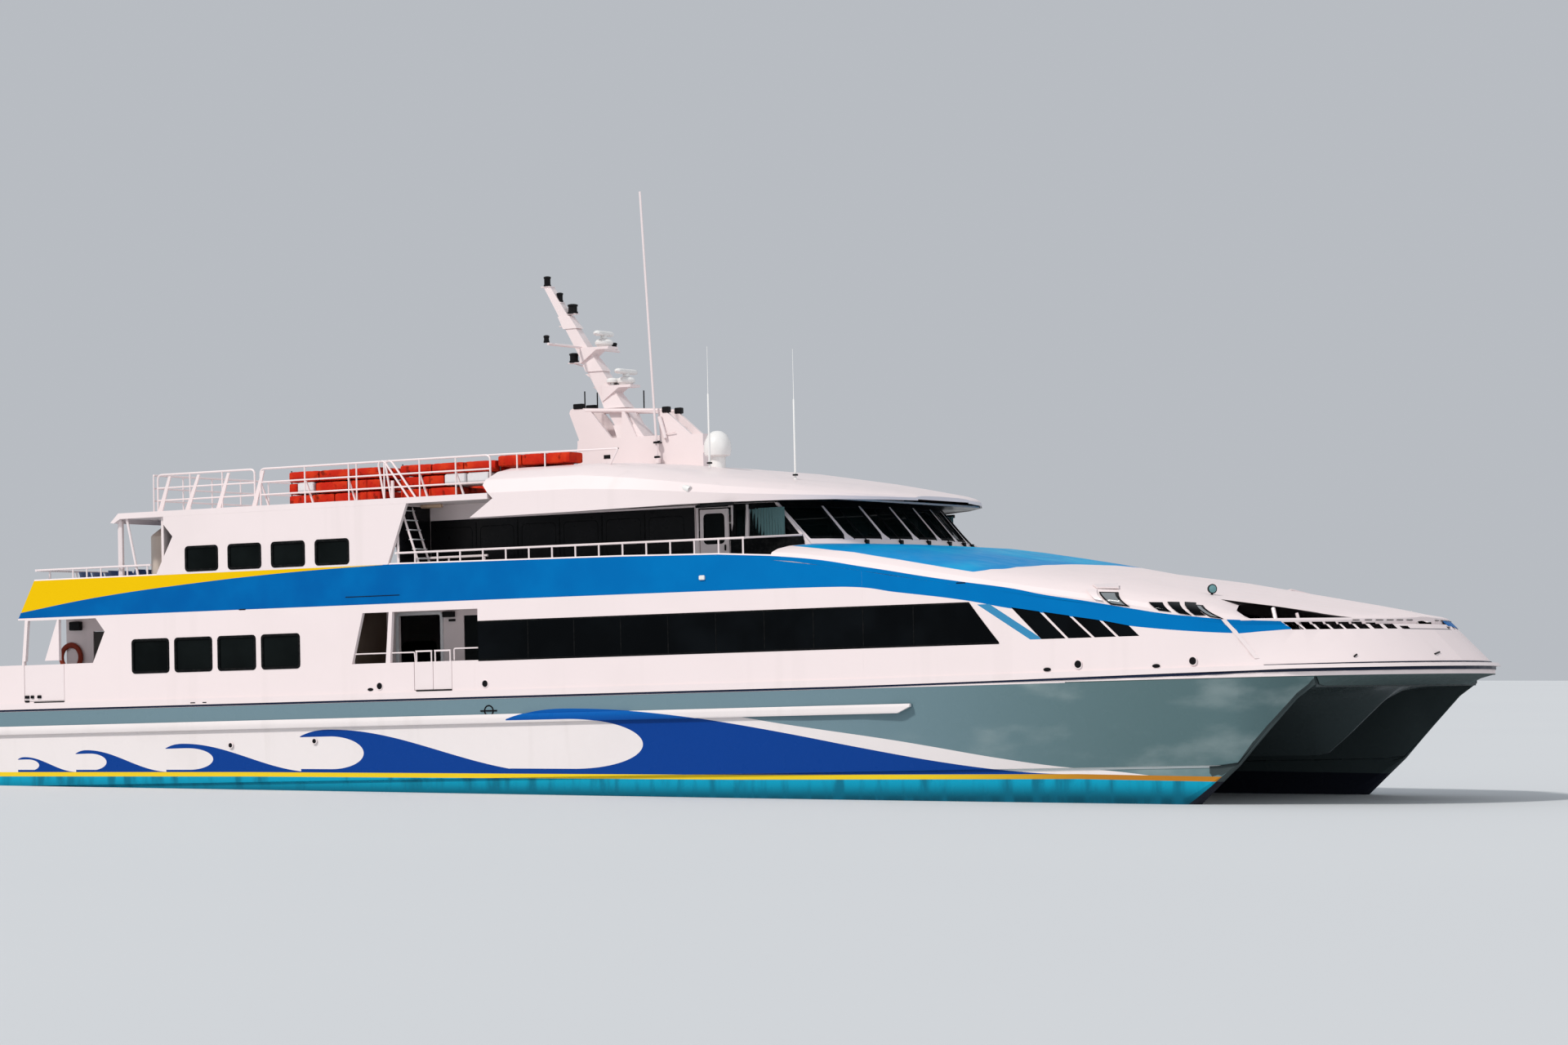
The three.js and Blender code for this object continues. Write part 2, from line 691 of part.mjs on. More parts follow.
// Side walls round the bow, up to the shoulder
const SKIN = 0.10;
const FORE_WINDOW_LOW_Z = 3.47;
const FORE_WINDOWS = [
  // Columns: X and Z of the top aft corner, X and Z of the top fore corner, X of the low fore and low aft corners
  [12.63, 4.24, 13.37, 4.12, 14.05, 13.41],
  [13.46, 4.11, 14.14, 4.00, 14.73, 14.12],
  [14.23, 3.98, 14.92, 3.87, 15.35, 14.80],
  [15.00, 3.86, 15.68, 3.72, 15.94, 15.42],
];
const SLOTS = [
  // Columns: X of the base station on the deck outline, height of the top, width, lean of the top towards the stern
  [19.64, 3.71, 0.30, 0.20],
  [19.96, 3.71, 0.30, 0.16],
  [20.26, 3.71, 0.30, 0.13],
  [20.52, 3.71, 0.30, 0.11],
  [20.74, 3.70, 0.31, 0.09],
  [20.94, 3.70, 0.33, 0.08],
  [21.12, 3.68, 0.34, 0.06],
  [21.27, 3.65, 0.36, 0.05],
  [21.39, 3.60, 0.36, 0.03],
];
const SLOT_LOW_Z = 3.53;
const SLOT_REACH = { inside: 0.35, outside: 0.25 };

// Tools for the slots, each square to the leaning skin at its station
function slots() {
  return SLOTS.map(([x, high, width, lean]) => {
    const [nx, ny] = outlineNormal(x);
    const [px, py] = bowSkin(x, SLOT_LOW_Z);
    const geometry = extruded([
      [width / 2, SLOT_LOW_Z],
      [-width / 2, SLOT_LOW_Z],
      [-width / 2 - lean, high],
      [width / 2 - lean, high],
    ], SLOT_REACH.inside + SLOT_REACH.outside);
    geometry.applyMatrix4(new THREE.Matrix4().makeBasis(
      new THREE.Vector3(-ny, nx, 0),
      new THREE.Vector3(0, 0, 1),
      new THREE.Vector3(nx, ny, 0),
    ));
    geometry.translate(px - nx * SLOT_REACH.inside, py - ny * SLOT_REACH.inside, 0);
    return solidOf(geometry);
  });
}

function sideBow() {
  const stations = [FORE_SEAM_X, 10.4, BOW_START_X, ...bowStations, BOW_X];
  const skin = (inset) => stations.map((x) => {
    const top = shoulder(x) - SKIN - GAP;
    const rows = [DECK_Z + GAP, (DECK_Z + top) / 2, top].map((z) => bowSkin(x, z, inset));
    return x === BOW_X ? rows.map(([px, , z]) => [px, -GAP, z]) : rows;
  });
  const wall = plateBetween(skin(0), skin(WALL));
  const windows = FORE_WINDOWS.map(([aftX, aftZ, foreX, foreZ, lowForeX, lowAftX]) => throughSide([
    [aftX, aftZ],
    [lowAftX, FORE_WINDOW_LOW_Z],
    [lowForeX, FORE_WINDOW_LOW_Z],
    [foreX, foreZ],
  ]));
  const rebate = profileXZ(bandOutline(0.004), OUTER - 0.5, OUTER + BAND.rebate);
  return cut(wall, rebate, bandOpenings(), windows, slots());
}

pair('side_bow', sideBow(), PAINT_WHITE);

// Wheelhouse outline at the foot of its windows
const HELM = { centreX: 7.50, halfY: 4.17, curve: 0.083, footZ: 6.05, rake: 0.89, topZ: 7.06, aftX: 3.05 };

function helmFront(y, z) {
  const rise = Math.max(0, z - HELM.footZ);
  return HELM.centreX - HELM.curve * y * y - HELM.rake * rise;
}

// Foredeck: a turtle-back shell from the wheelhouse to the bow
const CROWN_POWER = 4;
const CROWN_SHARES = [1, 0.985, 0.94, 0.85, 0.68, 0.4, 0];

function foredeckRow(x, drop) {
  const [ex, ey] = bowSkin(x, shoulder(x));
  const edge = shoulder(x) - drop;
  const rise = Math.max(0.02, crown(ex) - shoulder(x));
  const half = CROWN_SHARES.map((share) => {
    const lift = rise * Math.sqrt(1 - share ** CROWN_POWER);
    return [ex, ey * share, edge + lift];
  });
  return [...half, ...half.slice(0, -1).map(([px, py, pz]) => [px, -py, pz]).reverse()];
}

// The long three-cornered opening on each side of the foredeck, above its edge
const BOW_OPENING = [[17.14, 4.30], [18.33, 3.80], [19.86, 3.80], [19.64, 3.84], [18.59, 4.05], [18.21, 4.12]];

function foredeck() {
  const stations = [SIDE_DECK_END_X, 6.72, 7.5, 8.15, 9.4, 10.4, BOW_START_X, 14, ...bowStations, BOW_X - 0.015];
  const shell = plateBetween(
    stations.map((x) => foredeckRow(x, 0)),
    stations.map((x) => foredeckRow(x, SKIN)),
  );
  const front = range(17, -HELM.halfY - 0.02, (2 * HELM.halfY + 0.04) / 16);
  const helmHole = profileXY([
    [0, -HELM.halfY - 0.02],
    ...front.map((y) => [helmFront(y, 0) + 0.02, y]),
    [0, HELM.halfY + 0.02],
  ], 4, 8);
  const sideOpenings = [-1, 1].map((side) => profileXZ(
    BOW_OPENING,
    Math.min(side * 2.6, side * 6.2),
    Math.max(side * 2.6, side * 6.2),
  ));
  return cut(shell, helmHole, sideOpenings, slots(), slots().map(mirrored));
}

piece('foredeck', foredeck(), PAINT_WHITE);

// Upper deck and its bulwarks
const UPPER_AFT_X = -17.30;

piece('upper_deck', block(
  UPPER_AFT_X + 0.1, FORE_SEAM_X - 0.05, INNER + GAP, -INNER - GAP, UPPER_DECK_LOW_Z, UPPER_DECK_Z,
), DECK_GREY, 0.7);

// Columns: X, height of the top of the bulwark
const BULWARK_LINE = [
  [-16.85, BULWARK_TOP_Z],
  [-5.2, BULWARK_TOP_Z],
  [1.7, 5.85],
  [4.6, 5.79],
  [SIDE_DECK_END_X, 5.70],
];

function upperBulwark() {
  const high = [...BULWARK_LINE].reverse();
  const fore = [FORE_SEAM_X - GAP, 7.5, SIDE_DECK_END_X].map((x) => [x, shoulder(x) - SKIN - GAP]);
  return profileXZ([
    [-17.40, UPPER_DECK_LOW_Z],
    [FORE_SEAM_X - GAP, UPPER_DECK_LOW_Z],
    ...fore,
    ...high,
  ], OUTER, INNER);
}

pair('upper_bulwark', upperBulwark(), BAND_BLUE);

const STERN_BULWARK_HALF = HALF_BEAM - WALL - GAP;

const sternBulwark = profileXZ([
  [-17.40, UPPER_DECK_LOW_Z],
  [UPPER_AFT_X + 0.1 - GAP, UPPER_DECK_LOW_Z],
  [UPPER_AFT_X + 0.1 - GAP, UPPER_DECK_Z + GAP],
  [-17.16, UPPER_DECK_Z + GAP],
  [-16.75, BULWARK_TOP_Z],
  [-16.85, BULWARK_TOP_Z],
], -STERN_BULWARK_HALF, STERN_BULWARK_HALF);

// Rails on the bulwarks
const RAIL_R = 0.028;
const RAIL_TOP_Z = 6.20;

function railRun(points, posts, footZ) {
  const tubes = [];
  for (let i = 0; i + 1 < points.length; i += 1) {
    tubes.push(bar(points[i], points[i + 1], RAIL_R));
  }
  const knots = points.map(([x, y, z]) => block(
    x - RAIL_R, x + RAIL_R, y - RAIL_R, y + RAIL_R, z - RAIL_R, z + RAIL_R,
  ));
  const feet = posts.map(([x, y, z]) => bar([x, y, footZ(x)], [x, y, z], RAIL_R * 0.8));
  return join(tubes, knots, feet);
}

function sideRail() {
  const y = -HALF_BEAM + WALL / 2;
  const xs = range(15, -4.42, 0.695);
  const foot = (x) => lerpTable(BULWARK_LINE, x) + 2 * GAP;
  return railRun([[-5.0, y, RAIL_TOP_Z], [5.33, y, 6.17]], xs.map((x) => [x, y, RAIL_TOP_Z - 0.02]), foot);
}

pair('side_rail', sideRail(), PAINT_WHITE);

function sternRail() {
  const y = HALF_BEAM - WALL / 2;
  const corner = -16.80;
  const points = [
    [-12.95, -y, RAIL_TOP_Z],
    [corner, -y, RAIL_TOP_Z],
    [corner, y, RAIL_TOP_Z],
    [-12.95, y, RAIL_TOP_Z],
  ];
  const sidePosts = [-13.04, -13.71, -14.60, -15.08, -15.55].flatMap((x) => [[x, -y, RAIL_TOP_Z], [x, y, RAIL_TOP_Z]]);
  const endPosts = range(11, -5.5, 1.1).map((py) => [corner, py, RAIL_TOP_Z]);
  return railRun(points, [...sidePosts, ...endPosts], () => BULWARK_TOP_Z + GAP);
}

const sternPosts = range(11, -5.5, 1.1).map((y) => bar(
  [-16.80, y, BULWARK_TOP_Z - 0.03],
  [-16.80, y, BULWARK_TOP_Z + 0.05],
  RAIL_R,
));

piece('stern_bulwark_and_rail', join(sternBulwark, sternPosts, sternRail()), PAINT_WHITE);

// Aft house on the upper deck
const HOUSE_WINDOW = { count: 4, fromX: -11.74, pitch: 1.405, width: 1.08, lowZ: 5.98, highZ: 6.64 };

function aftHouseSide() {
  const wall = profileXZ([
    [-12.72, BULWARK_TOP_Z + GAP],
    [-5.24, BULWARK_TOP_Z + GAP],
    [-4.63, ROOF_LOW_Z - GAP],
    [-12.45, ROOF_LOW_Z - GAP],
    [-12.45, 7.25],
    [-12.15, 6.92],
  ], OUTER, INNER);
  const { count, fromX, pitch, width, lowZ, highZ } = HOUSE_WINDOW;
  return cut(wall, range(count, fromX, pitch).map((x) => roundedWindow(x, x + width, lowZ, highZ)));
}

pair('aft_house_side', aftHouseSide(), PAINT_WHITE);

const DOOR = { halfWidth: 0.40, height: 1.95, thick: 0.05 };
const UPPER_DOOR_Y = 2.4;
const MAIN_DOOR_Y = 2.6;
const PLATE = 0.08;

function doorHole(x0, x1, y, floor) {
  return block(x0, x1, y - DOOR.halfWidth, y + DOOR.halfWidth, floor + 0.06, floor + 0.06 + DOOR.height);
}

piece('aft_house_bulkhead', cut(
  block(
    AFT_HOUSE_X, AFT_HOUSE_X + PLATE, -STERN_BULWARK_HALF, STERN_BULWARK_HALF,
    UPPER_DECK_Z + GAP, ROOF_LOW_Z - GAP,
  ),
  doorHole(AFT_HOUSE_X - 1, AFT_HOUSE_X + 1, -UPPER_DOOR_Y, UPPER_DECK_Z),
  block(AFT_HOUSE_X - 1, AFT_HOUSE_X + 1, 1.2, 5.2, 6.0, 6.9),
), PAINT_WHITE);

// Upper cabin sides, set back behind the side deck, each with the end wall of the aft house
const CABIN_BAND = { lowZ: 5.72, highZ: 6.99, fromX: -4.80, toX: 2.85 };

function cabinSide() {
  const wall = profileXZ([
    [AFT_HOUSE_FRONT_X - PLATE, UPPER_DECK_Z + GAP],
    [HELM.aftX - GAP, UPPER_DECK_Z + GAP],
    [HELM.aftX - GAP, 7.10],
    [COWL_X - 0.02, 7.10],
    [COWL_X - 0.02, ROOF_LOW_Z - GAP],
    [AFT_HOUSE_FRONT_X - PLATE, ROOF_LOW_Z - GAP],
  ], -CABIN_Y + GAP * 2, -CABIN_Y + PLATE);
  const rebate = block(CABIN_BAND.fromX - 0.004, CABIN_BAND.toX + 0.004, -CABIN_Y - 1, -CABIN_Y + 0.03,
    CABIN_BAND.lowZ - 0.004, CABIN_BAND.highZ + 0.004);
  const count = 6;
  const step = (CABIN_BAND.toX - CABIN_BAND.fromX) / count;
  const openings = range(count, CABIN_BAND.fromX, step).map((x) => block(
    x + 0.06, x + step - 0.06, -CABIN_Y - 1, -CABIN_Y + 1, CABIN_BAND.lowZ + 0.06, CABIN_BAND.highZ - 0.06,
  ));
  const endWall = block(
    AFT_HOUSE_FRONT_X - PLATE, AFT_HOUSE_FRONT_X, -STERN_BULWARK_HALF + 0.02, -CABIN_Y + PLATE,
    UPPER_DECK_Z + GAP, ROOF_LOW_Z - GAP,
  );
  return join(cut(wall, rebate, openings), endWall);
}

pair('cabin_side', cabinSide(), PAINT_WHITE);
pair('cabin_windows', block(
  CABIN_BAND.fromX, CABIN_BAND.toX, -CABIN_Y + 0.002, -CABIN_Y + 0.03 - GAP, CABIN_BAND.lowZ, CABIN_BAND.highZ,
), GLASS_BLACK, 0.08);

// Wheelhouse: a wall with raked windows between posts
const HELM_PANES = 8;
const HELM_SILL_Z = 6.20;
const HELM_HEAD_Z = 7.02;
const HELM_WALL = 0.08;

function helmLine(z, inset) {
  const half = HELM.halfY - inset;
  const ys = range(HELM_PANES * 2 + 1, -half, (2 * half) / (HELM_PANES * 2));
  const aftY = CABIN_Y - inset;
  const front = ys.map((y) => [helmFront(y, z) - inset, y, z]);
  return [[HELM.aftX, -aftY, z], ...front, [HELM.aftX, aftY, z]];
}

function helmBand(z0, z1, z2 = z1) {
  const heights = z1 === z2 ? [z0, z1] : [z0, z1, z2];
  return plateBetween(
    heights.map((z) => helmLine(z, 0)),
    heights.map((z) => helmLine(z, HELM_WALL)),
  );
}

function helmPosts() {
  const half = HELM.halfY - HELM_WALL / 2;
  const front = range(HELM_PANES + 1, -half, (2 * half) / HELM_PANES);
  const raked = front.map((y) => bar(
    [helmFront(y, HELM_SILL_Z) - HELM_WALL / 2 + 0.05, y, HELM_SILL_Z - 0.05],
    [helmFront(y, HELM_HEAD_Z) - HELM_WALL / 2 - 0.05, y, HELM_HEAD_Z + 0.05],
    0.036,
  ));
  const sideX = [HELM.aftX + 0.04, 4.02, 4.42];
  const upright = sideX.flatMap((x) => [-1, 1].map((side) => {
    const share = (x - HELM.aftX) / (helmFront(half, HELM_SILL_Z) - HELM.aftX);
    const y = side * (CABIN_Y - HELM_WALL / 2 + (HELM.halfY - CABIN_Y) * share * 1.03);
    return bar([x, y, HELM_SILL_Z - 0.05], [x, y, HELM_HEAD_Z + 0.05], 0.036);
  }));
  return [...raked, ...upright];
}

const HELM_DOOR = { fromX: 3.13, toX: 3.98, lowZ: 5.16, highZ: 7.0 };

function wheelhouse() {
  const lower = helmBand(UPPER_DECK_Z + GAP, HELM.footZ, HELM_SILL_Z);
  const upper = helmBand(HELM_HEAD_Z, HELM_HEAD_Z + 0.09);
  const doors = [-1, 1].map((side) => block(
    HELM_DOOR.fromX, HELM_DOOR.toX, Math.min(side * 3.9, side * 5.2), Math.max(side * 3.9, side * 5.2),
    HELM_DOOR.lowZ, HELM_DOOR.highZ,
  ));
  return cut(join(lower, upper, helmPosts()), doors);
}

piece('wheelhouse', wheelhouse(), PAINT_WHITE);

// Helm console behind the windows
piece('helm_console', join(
  profileXZ([[5.6, UPPER_DECK_Z + GAP], [6.35, UPPER_DECK_Z + GAP], [6.35, 6.08], [6.1, 6.12], [5.6, 5.95]], -2.6, 2.6),
), CONSOLE_GREY, 0.6);

// Aft roof with the canopy over the open deck
function aftRoof() {
  const plate = profileXZ([
    [-14.22, 7.36],
    [-14.1, 7.34],
    [-13.9, ROOF_LOW_Z],
    [COWL_X - GAP, ROOF_LOW_Z],
    [COWL_X - GAP, ROOF_Z],
    [-13.95, ROOF_Z],
  ], OUTER, HALF_BEAM);
  const posts = [-1, 1].map((side) => bar(
    [-14.02, side * (HALF_BEAM - 0.19), UPPER_DECK_Z + GAP],
    [-14.02, side * (HALF_BEAM - 0.19), 7.41],
    0.08,
  ));
  const pad = block(-7.6, -6.4, -0.5, 0.5, ROOF_Z - 0.02, ROOF_Z + 0.04);
  return join(plate, posts, pad);
}

piece('aft_roof', aftRoof(), PAINT_WHITE);

// Roof cowl over the upper cabin and the wheelhouse, with its visor
const COWL = { noseX: 7.68, startX: 0.5, tailX: -2.80, ceilingEndX: 6.6 };
// The aft edge of the cowl's sides: an arrow notch over the roof's edge
const COWL_TAIL = [
  [-2.69, 6.90],
  [-2.69, 7.00],
  [-1.98, 7.46],
  [-2.35, 7.81],
  [-2.22, 8.17],
  [-2.22, 8.60],
];
// Columns: X of the station, height of the lower edge, of the outer edge and of the crown, fullness
const COWL_TABLE = [
  [COWL.tailX, 7.00, 7.60, 8.33, 8],
  [COWL_X, 7.00, 7.60, 8.33, 8],
  [0.5, 7.02, 7.58, 8.33, 8],
  [2.0, 7.04, 7.50, 8.22, 6],
  [3.3, 7.07, 7.40, 8.02, 5],
  [4.5, 7.09, 7.31, 7.84, 4],
  [5.7, 7.11, 7.25, 7.62, 4],
  [COWL.ceilingEndX, 7.12, 7.22, 7.46, 3.5],
  [7.2, 7.12, 7.20, 7.34, 3],
  [7.55, 7.12, 7.19, 7.25, 3],
];
const COWL_SHARES = [1, 0.97, 0.9, 0.8, 0.55, 0];

function cowlHalf(x) {
  const t = Math.max(0, (x - COWL.startX) / (COWL.noseX - COWL.startX));
  return HALF_BEAM * Math.sqrt(Math.max(0, 1 - t ** 3));
}

function cowlRow([x, low, edge, top, power], drop, raise = 0) {
  const half = cowlHalf(x) - drop;
  const rim = edge - drop * 0.4;
  const points = [[x, -half, low + GAP]];
  for (const share of COWL_SHARES) {
    const lift = (top - drop - rim) * Math.sqrt(1 - share ** power);
    points.push([x, -half * share, rim + lift + raise]);
  }
  return [...points, ...points.slice(0, -1).map(([px, py, pz]) => [px, -py, pz]).reverse()];
}

function cowlShell(raise = 0) {
  return plateBetween(
    COWL_TABLE.map((row) => cowlRow(row, 0, raise)),
    COWL_TABLE.map((row) => cowlRow(row, SKIN, raise)),
  );
}

function cowl() {
  const aftX = COWL_X + GAP;
  const stations = COWL_TABLE.map(([x]) => x).filter((x) => x > aftX && x <= COWL.ceilingEndX);
  const ceiling = profileXY([
    [aftX, -5.9],
    ...stations.map((x) => [x, -cowlHalf(x) + 0.05]),
    ...stations.map((x) => [x, cowlHalf(x) - 0.05]).reverse(),
    [aftX, 5.9],
  ], 7.12, 7.17);
  const behind = profileXZ([[-4, 6.9], ...COWL_TAIL, [-4, 8.6]], -7, 7);
  return cut(join(cowlShell(), ceiling), behind);
}

piece('roof_cowl', cowl(), PAINT_WHITE);

// Gear that stands on the cowl is cut to its crown, a hair above it
function onCowl(solid) {
  return cut(solid, cowlShell(GAP));
}

// Mast housing: a narrow box with raked side plates, its aft end standing on the aft roof
const HOUSING = { half: 0.345, plate: 0.09, topZ: 9.2, footZ: 8.29, aftX: -3.19, foreX: 0.69, legX: -2.32 };

function housing() {
  const { half, aftX, foreX, legX, topZ, footZ } = HOUSING;
  const box = block(aftX, foreX, -half, half, footZ, topZ);
  const leg = block(aftX, legX, -half, half, ROOF_Z + GAP, topZ - 0.2);
  const outline = [
    [-3.21, 8.7],
    [-3.21, 8.97],
    [-3.145, 9.24],
    [-3.43, 9.94],
    [-3.40, 10.02],
    [-3.31, 10.07],
    [-0.56, 9.92],
    [-0.36, 9.78],
    [0.71, 8.89],
    [0.71, 8.7],
  ];
  const plates = [-1, 1].map((side) => {
    const y = side * (half - HOUSING.plate / 2);
    const plate = profileXZ(outline, y - HOUSING.plate / 2, y + HOUSING.plate / 2);
    const aftHole = profileXZ([[-2.78, 9.98], [-2.13, 9.23], [-1.80, 9.23], [-1.79, 9.95]], y - 0.2, y + 0.2);
    const foreHole = profileXZ([[-1.70, 9.90], [-1.34, 9.22], [-0.62, 9.22], [-0.66, 9.82]], y - 0.2, y + 0.2);
    return cut(plate, aftHole, foreHole);
  });
  return join(onCowl(join(box, plates)), leg);
}

piece('mast_housing', housing(), PAINT_WHITE);

// Mast: raked box section with a yard and two platforms
const MAST = { footX: -1.55, footZ: 9.205, topX: -4.22, topZ: 13.35 };
const RADAR = [
  // Columns: name, X of the turning axis, height of the platform top, half-length of the scanner
  ['radar_lower', -1.85, 10.62, 0.50],
  ['radar_upper', -2.52, 11.66, 0.42],
];

function mast() {
  const { footX, footZ, topX, topZ } = MAST;
  const column = loft([
    [footX, footZ, 0.34, 0.22],
    [footX + (topX - footX) * 0.5, footZ + (topZ - footZ) * 0.5, 0.22, 0.16],
    [topX, topZ, 0.10, 0.10],
  ].map(([x, z, a, b]) => [[x - a, -b, z], [x + a, -b, z], [x + a, b, z], [x - a, b, z]]));
  const arms = RADAR.map(([, x, z]) => {
    const back = footX + ((topX - footX) * (z - footZ)) / (topZ - footZ);
    return profileXZ([
      [back, z - 0.42],
      [x - 0.1, z - 0.07],
      [x + 0.28, z - 0.07],
      [x + 0.28, z],
      [back, z],
    ], -0.24, 0.24);
  });
  const pedestals = RADAR.map(([, x, z]) => bar([x, 0, z - 0.02], [x, 0, z + 0.2], 0.17, 10));
  const yardX = -3.0;
  const yard = bar([yardX - 0.15, -1.7, 11.68], [yardX - 0.15, 1.7, 11.68], 0.035);
  return join(column, arms, pedestals, yard);
}

piece('mast', mast(), PAINT_WHITE);

for (const [name, x, z, half] of RADAR) {
  const scanner = join(
    block(x - 0.09, x + 0.09, -half, half, z + 0.28, z + 0.42),
    bar([x, 0, z + 0.21 + GAP], [x, 0, z + 0.3], 0.09, 10),
  );
  piece(`${name}_scanner`, scanner, PAINT_WHITE);
}

// Satellite dome and the tall whip aerial
const DOME = { x: 2.15, y: -2.0, footZ: 8.13, radius: 0.36 };

function dome() {
  const profile = [
    [0, 0],
    [0.2, 0],
    [0.2, 0.32],
    [0.33, 0.36],
    [DOME.radius, 0.5],
    [0.34, 0.7],
    [0.25, 0.88],
    [0.12, 0.97],
    [0, 0.99],
  ].map(([r, h]) => new THREE.Vector2(r, h));
  const geometry = new THREE.LatheGeometry(profile, 16);
  geometry.rotateX(Math.PI / 2);
  geometry.translate(DOME.x, DOME.y, DOME.footZ);
  return onCowl(solidOf(geometry));
}

piece('satellite_dome', dome(), PAINT_WHITE, 0.3);

const WHIP = { x: -0.60, y: -0.50, footZ: 8.30, tipX: -0.98, tipZ: 15.6, radius: 0.03, foot: 0.07 };

function whip() {
  const { x, y, footZ, tipX, tipZ, radius, foot } = WHIP;
  return onCowl(join(
    bar([x, y, footZ], [tipX, y, tipZ], radius),
    bar([x, y, footZ], [x, y, footZ + 0.35], foot, 8),
  ));
}

piece('whip_aerial', whip(), PAINT_WHITE);

// Roof rails round the aft roof
const ROOF_RAIL = { half: 5.0, aftX: -13.75, foreX: -2.75, heights: [7.95, 8.30, 8.65] };

function roofRails() {
  const { half, aftX, foreX, heights } = ROOF_RAIL;
  const foot = ROOF_Z + GAP;
  const runs = heights.map((z) => railRun(
    [[foreX, -half, z], [aftX, -half, z], [aftX, half, z], [foreX, half, z]], [], () => foot,
  ));
  const posts = [
    ...range(9, aftX, (foreX - aftX) / 8).flatMap((x) => [[x, -half], [x, half]]),
    ...range(5, -half + 1.6, 1.6).map((y) => [aftX, y]),
  ].map(([x, y]) => bar([x, y, foot], [x, y, heights[2]], RAIL_R));
  return join(runs, posts);
}

piece('roof_rails', roofRails(), PAINT_WHITE);

// Stacks of life floats on the aft roof
const FLOATS = [
  // Columns: aft X, fore X, rows in the stack
  [-9.25, -6.35, 3],
  [-5.85, -2.9, 3],
];
const FLOAT_ROW = 0.31;
const FLOAT_SHELF_Z = 8.32;

function floatStack() {
  const racks = FLOATS.map(([x0, x1, rows]) => {
    const layers = range(rows, 0, 1).map((k) => block(
      x0 + 0.03 * k, x1 - 0.03 * k, -4.7, -3.3,
      ROOF_Z + GAP + k * FLOAT_ROW - (k ? 0.03 : 0), ROOF_Z + GAP + (k + 1) * FLOAT_ROW - 0.02,
    ));
    return join(layers);
  });
  const tray = block(-9.3, -2.8, -4.55, -3.45, ROOF_Z + GAP, ROOF_Z + 0.06);
  const over = block(-3.2, -0.25, -4.7, -3.3, FLOAT_SHELF_Z, FLOAT_SHELF_Z + FLOAT_ROW);
  const arm = block(-3.4, -2.8, -4.6, -3.4, 8.10, FLOAT_SHELF_Z + 0.05);
  return onCowl(join(racks, tray, over, arm));
}

pair('life_floats', floatStack(), FLOAT_RED, 0.6);

// Aft bulkhead of the main saloon, the casing that carries the upper deck aft, and a wall inside each passage
const SALOON_AFT_X = -13.9;
const PASSAGE = { y: 4.62, aftX: -17.0, doorX: -16.07, doorHeadZ: 4.56 };

function passageWall(y0) {
  const wall = block(
    PASSAGE.aftX, SALOON_AFT_X + 0.02, y0, y0 + PLATE, DECK_Z + GAP, UPPER_DECK_LOW_Z - GAP,
  );
  const doorway = block(
    PASSAGE.doorX, PASSAGE.doorX + 2 * DOOR.halfWidth, y0 - 1, y0 + 1, DECK_Z + 0.06, PASSAGE.doorHeadZ,
  );
  return cut(wall, doorway);
}

piece('saloon_bulkhead', cut(
  join(
    block(
      SALOON_AFT_X, SALOON_AFT_X + PLATE, -STERN_BULWARK_HALF, STERN_BULWARK_HALF,
      DECK_Z + GAP, UPPER_DECK_LOW_Z - GAP,
    ),
    block(-17.0, SALOON_AFT_X + 0.02, -1.7, 1.7, DECK_Z + GAP, UPPER_DECK_LOW_Z - GAP),
    passageWall(-PASSAGE.y),
    passageWall(PASSAGE.y - PLATE),
  ),
  doorHole(SALOON_AFT_X - 1, SALOON_AFT_X + 1, -MAIN_DOOR_Y, DECK_Z),
  doorHole(SALOON_AFT_X - 1, SALOON_AFT_X + 1, MAIN_DOOR_Y, DECK_Z),
), PAINT_WHITE);

// Boarding lobby walls behind the midship openings, with the doorway and an inner window
const LOBBY = { aftX: -6.50, foreX: -2.38, y: -4.55 };
const LOBBY_DOORWAY = { aftX: -6.04, foreX: -4.73, headZ: 4.65 };
const LOBBY_WINDOW = { aftX: -4.00, foreX: -2.62, lowZ: 3.36, headZ: 4.60 };

function lobby() {
  const { aftX, foreX, y } = LOBBY;
  const wall = block(aftX, foreX, y, y + PLATE, DECK_Z + GAP, UPPER_DECK_LOW_Z - GAP);
  const doorway = block(
    LOBBY_DOORWAY.aftX, LOBBY_DOORWAY.foreX, y - 1, y + 1, DECK_Z + 0.06, LOBBY_DOORWAY.headZ,
  );
  const pane = block(
    LOBBY_WINDOW.aftX, LOBBY_WINDOW.foreX, y - 1, y + 1, LOBBY_WINDOW.lowZ, LOBBY_WINDOW.headZ,
  );
  const ends = [aftX, foreX - PLATE].map((x) => block(
    x, x + PLATE, INNER + GAP, y + 0.02, DECK_Z + GAP, UPPER_DECK_LOW_Z - GAP,
  ));
  return join(cut(wall, doorway, pane), ends);
}

pair('boarding_lobby', lobby(), PAINT_WHITE);

// Transom bulwark at the stern of the main deck
piece('transom_bulwark', block(
  STERN_END_X, STERN_END_X + WALL, -STERN_BULWARK_HALF, STERN_BULWARK_HALF, DECK_Z + GAP, 3.45,
), PAINT_WHITE);

// Gates in the bulwarks: two leaves amidships, one leaf at the stern
const LEAF = 0.06;

function boardingGate(hingeX, towardX) {
  const x0 = Math.min(hingeX, towardX);
  const x1 = Math.max(hingeX, towardX);
  const panel = block(x0, x1, OUTER + 0.005, OUTER + LEAF, GATE.lowZ + SLIT, SILL_Z);
  const loopZ = SILL_Z + 0.27;
  const y = OUTER + LEAF / 2;
  const posts = [x0 + 0.05, x1 - 0.05].map((x) => bar([x, y, SILL_Z - 0.02], [x, y, loopZ], 0.02));
  const top = block(x0 + 0.03, x1 - 0.03, y - 0.02, y + 0.02, loopZ - 0.02, loopZ + 0.02);
  return join(panel, posts, top);
}

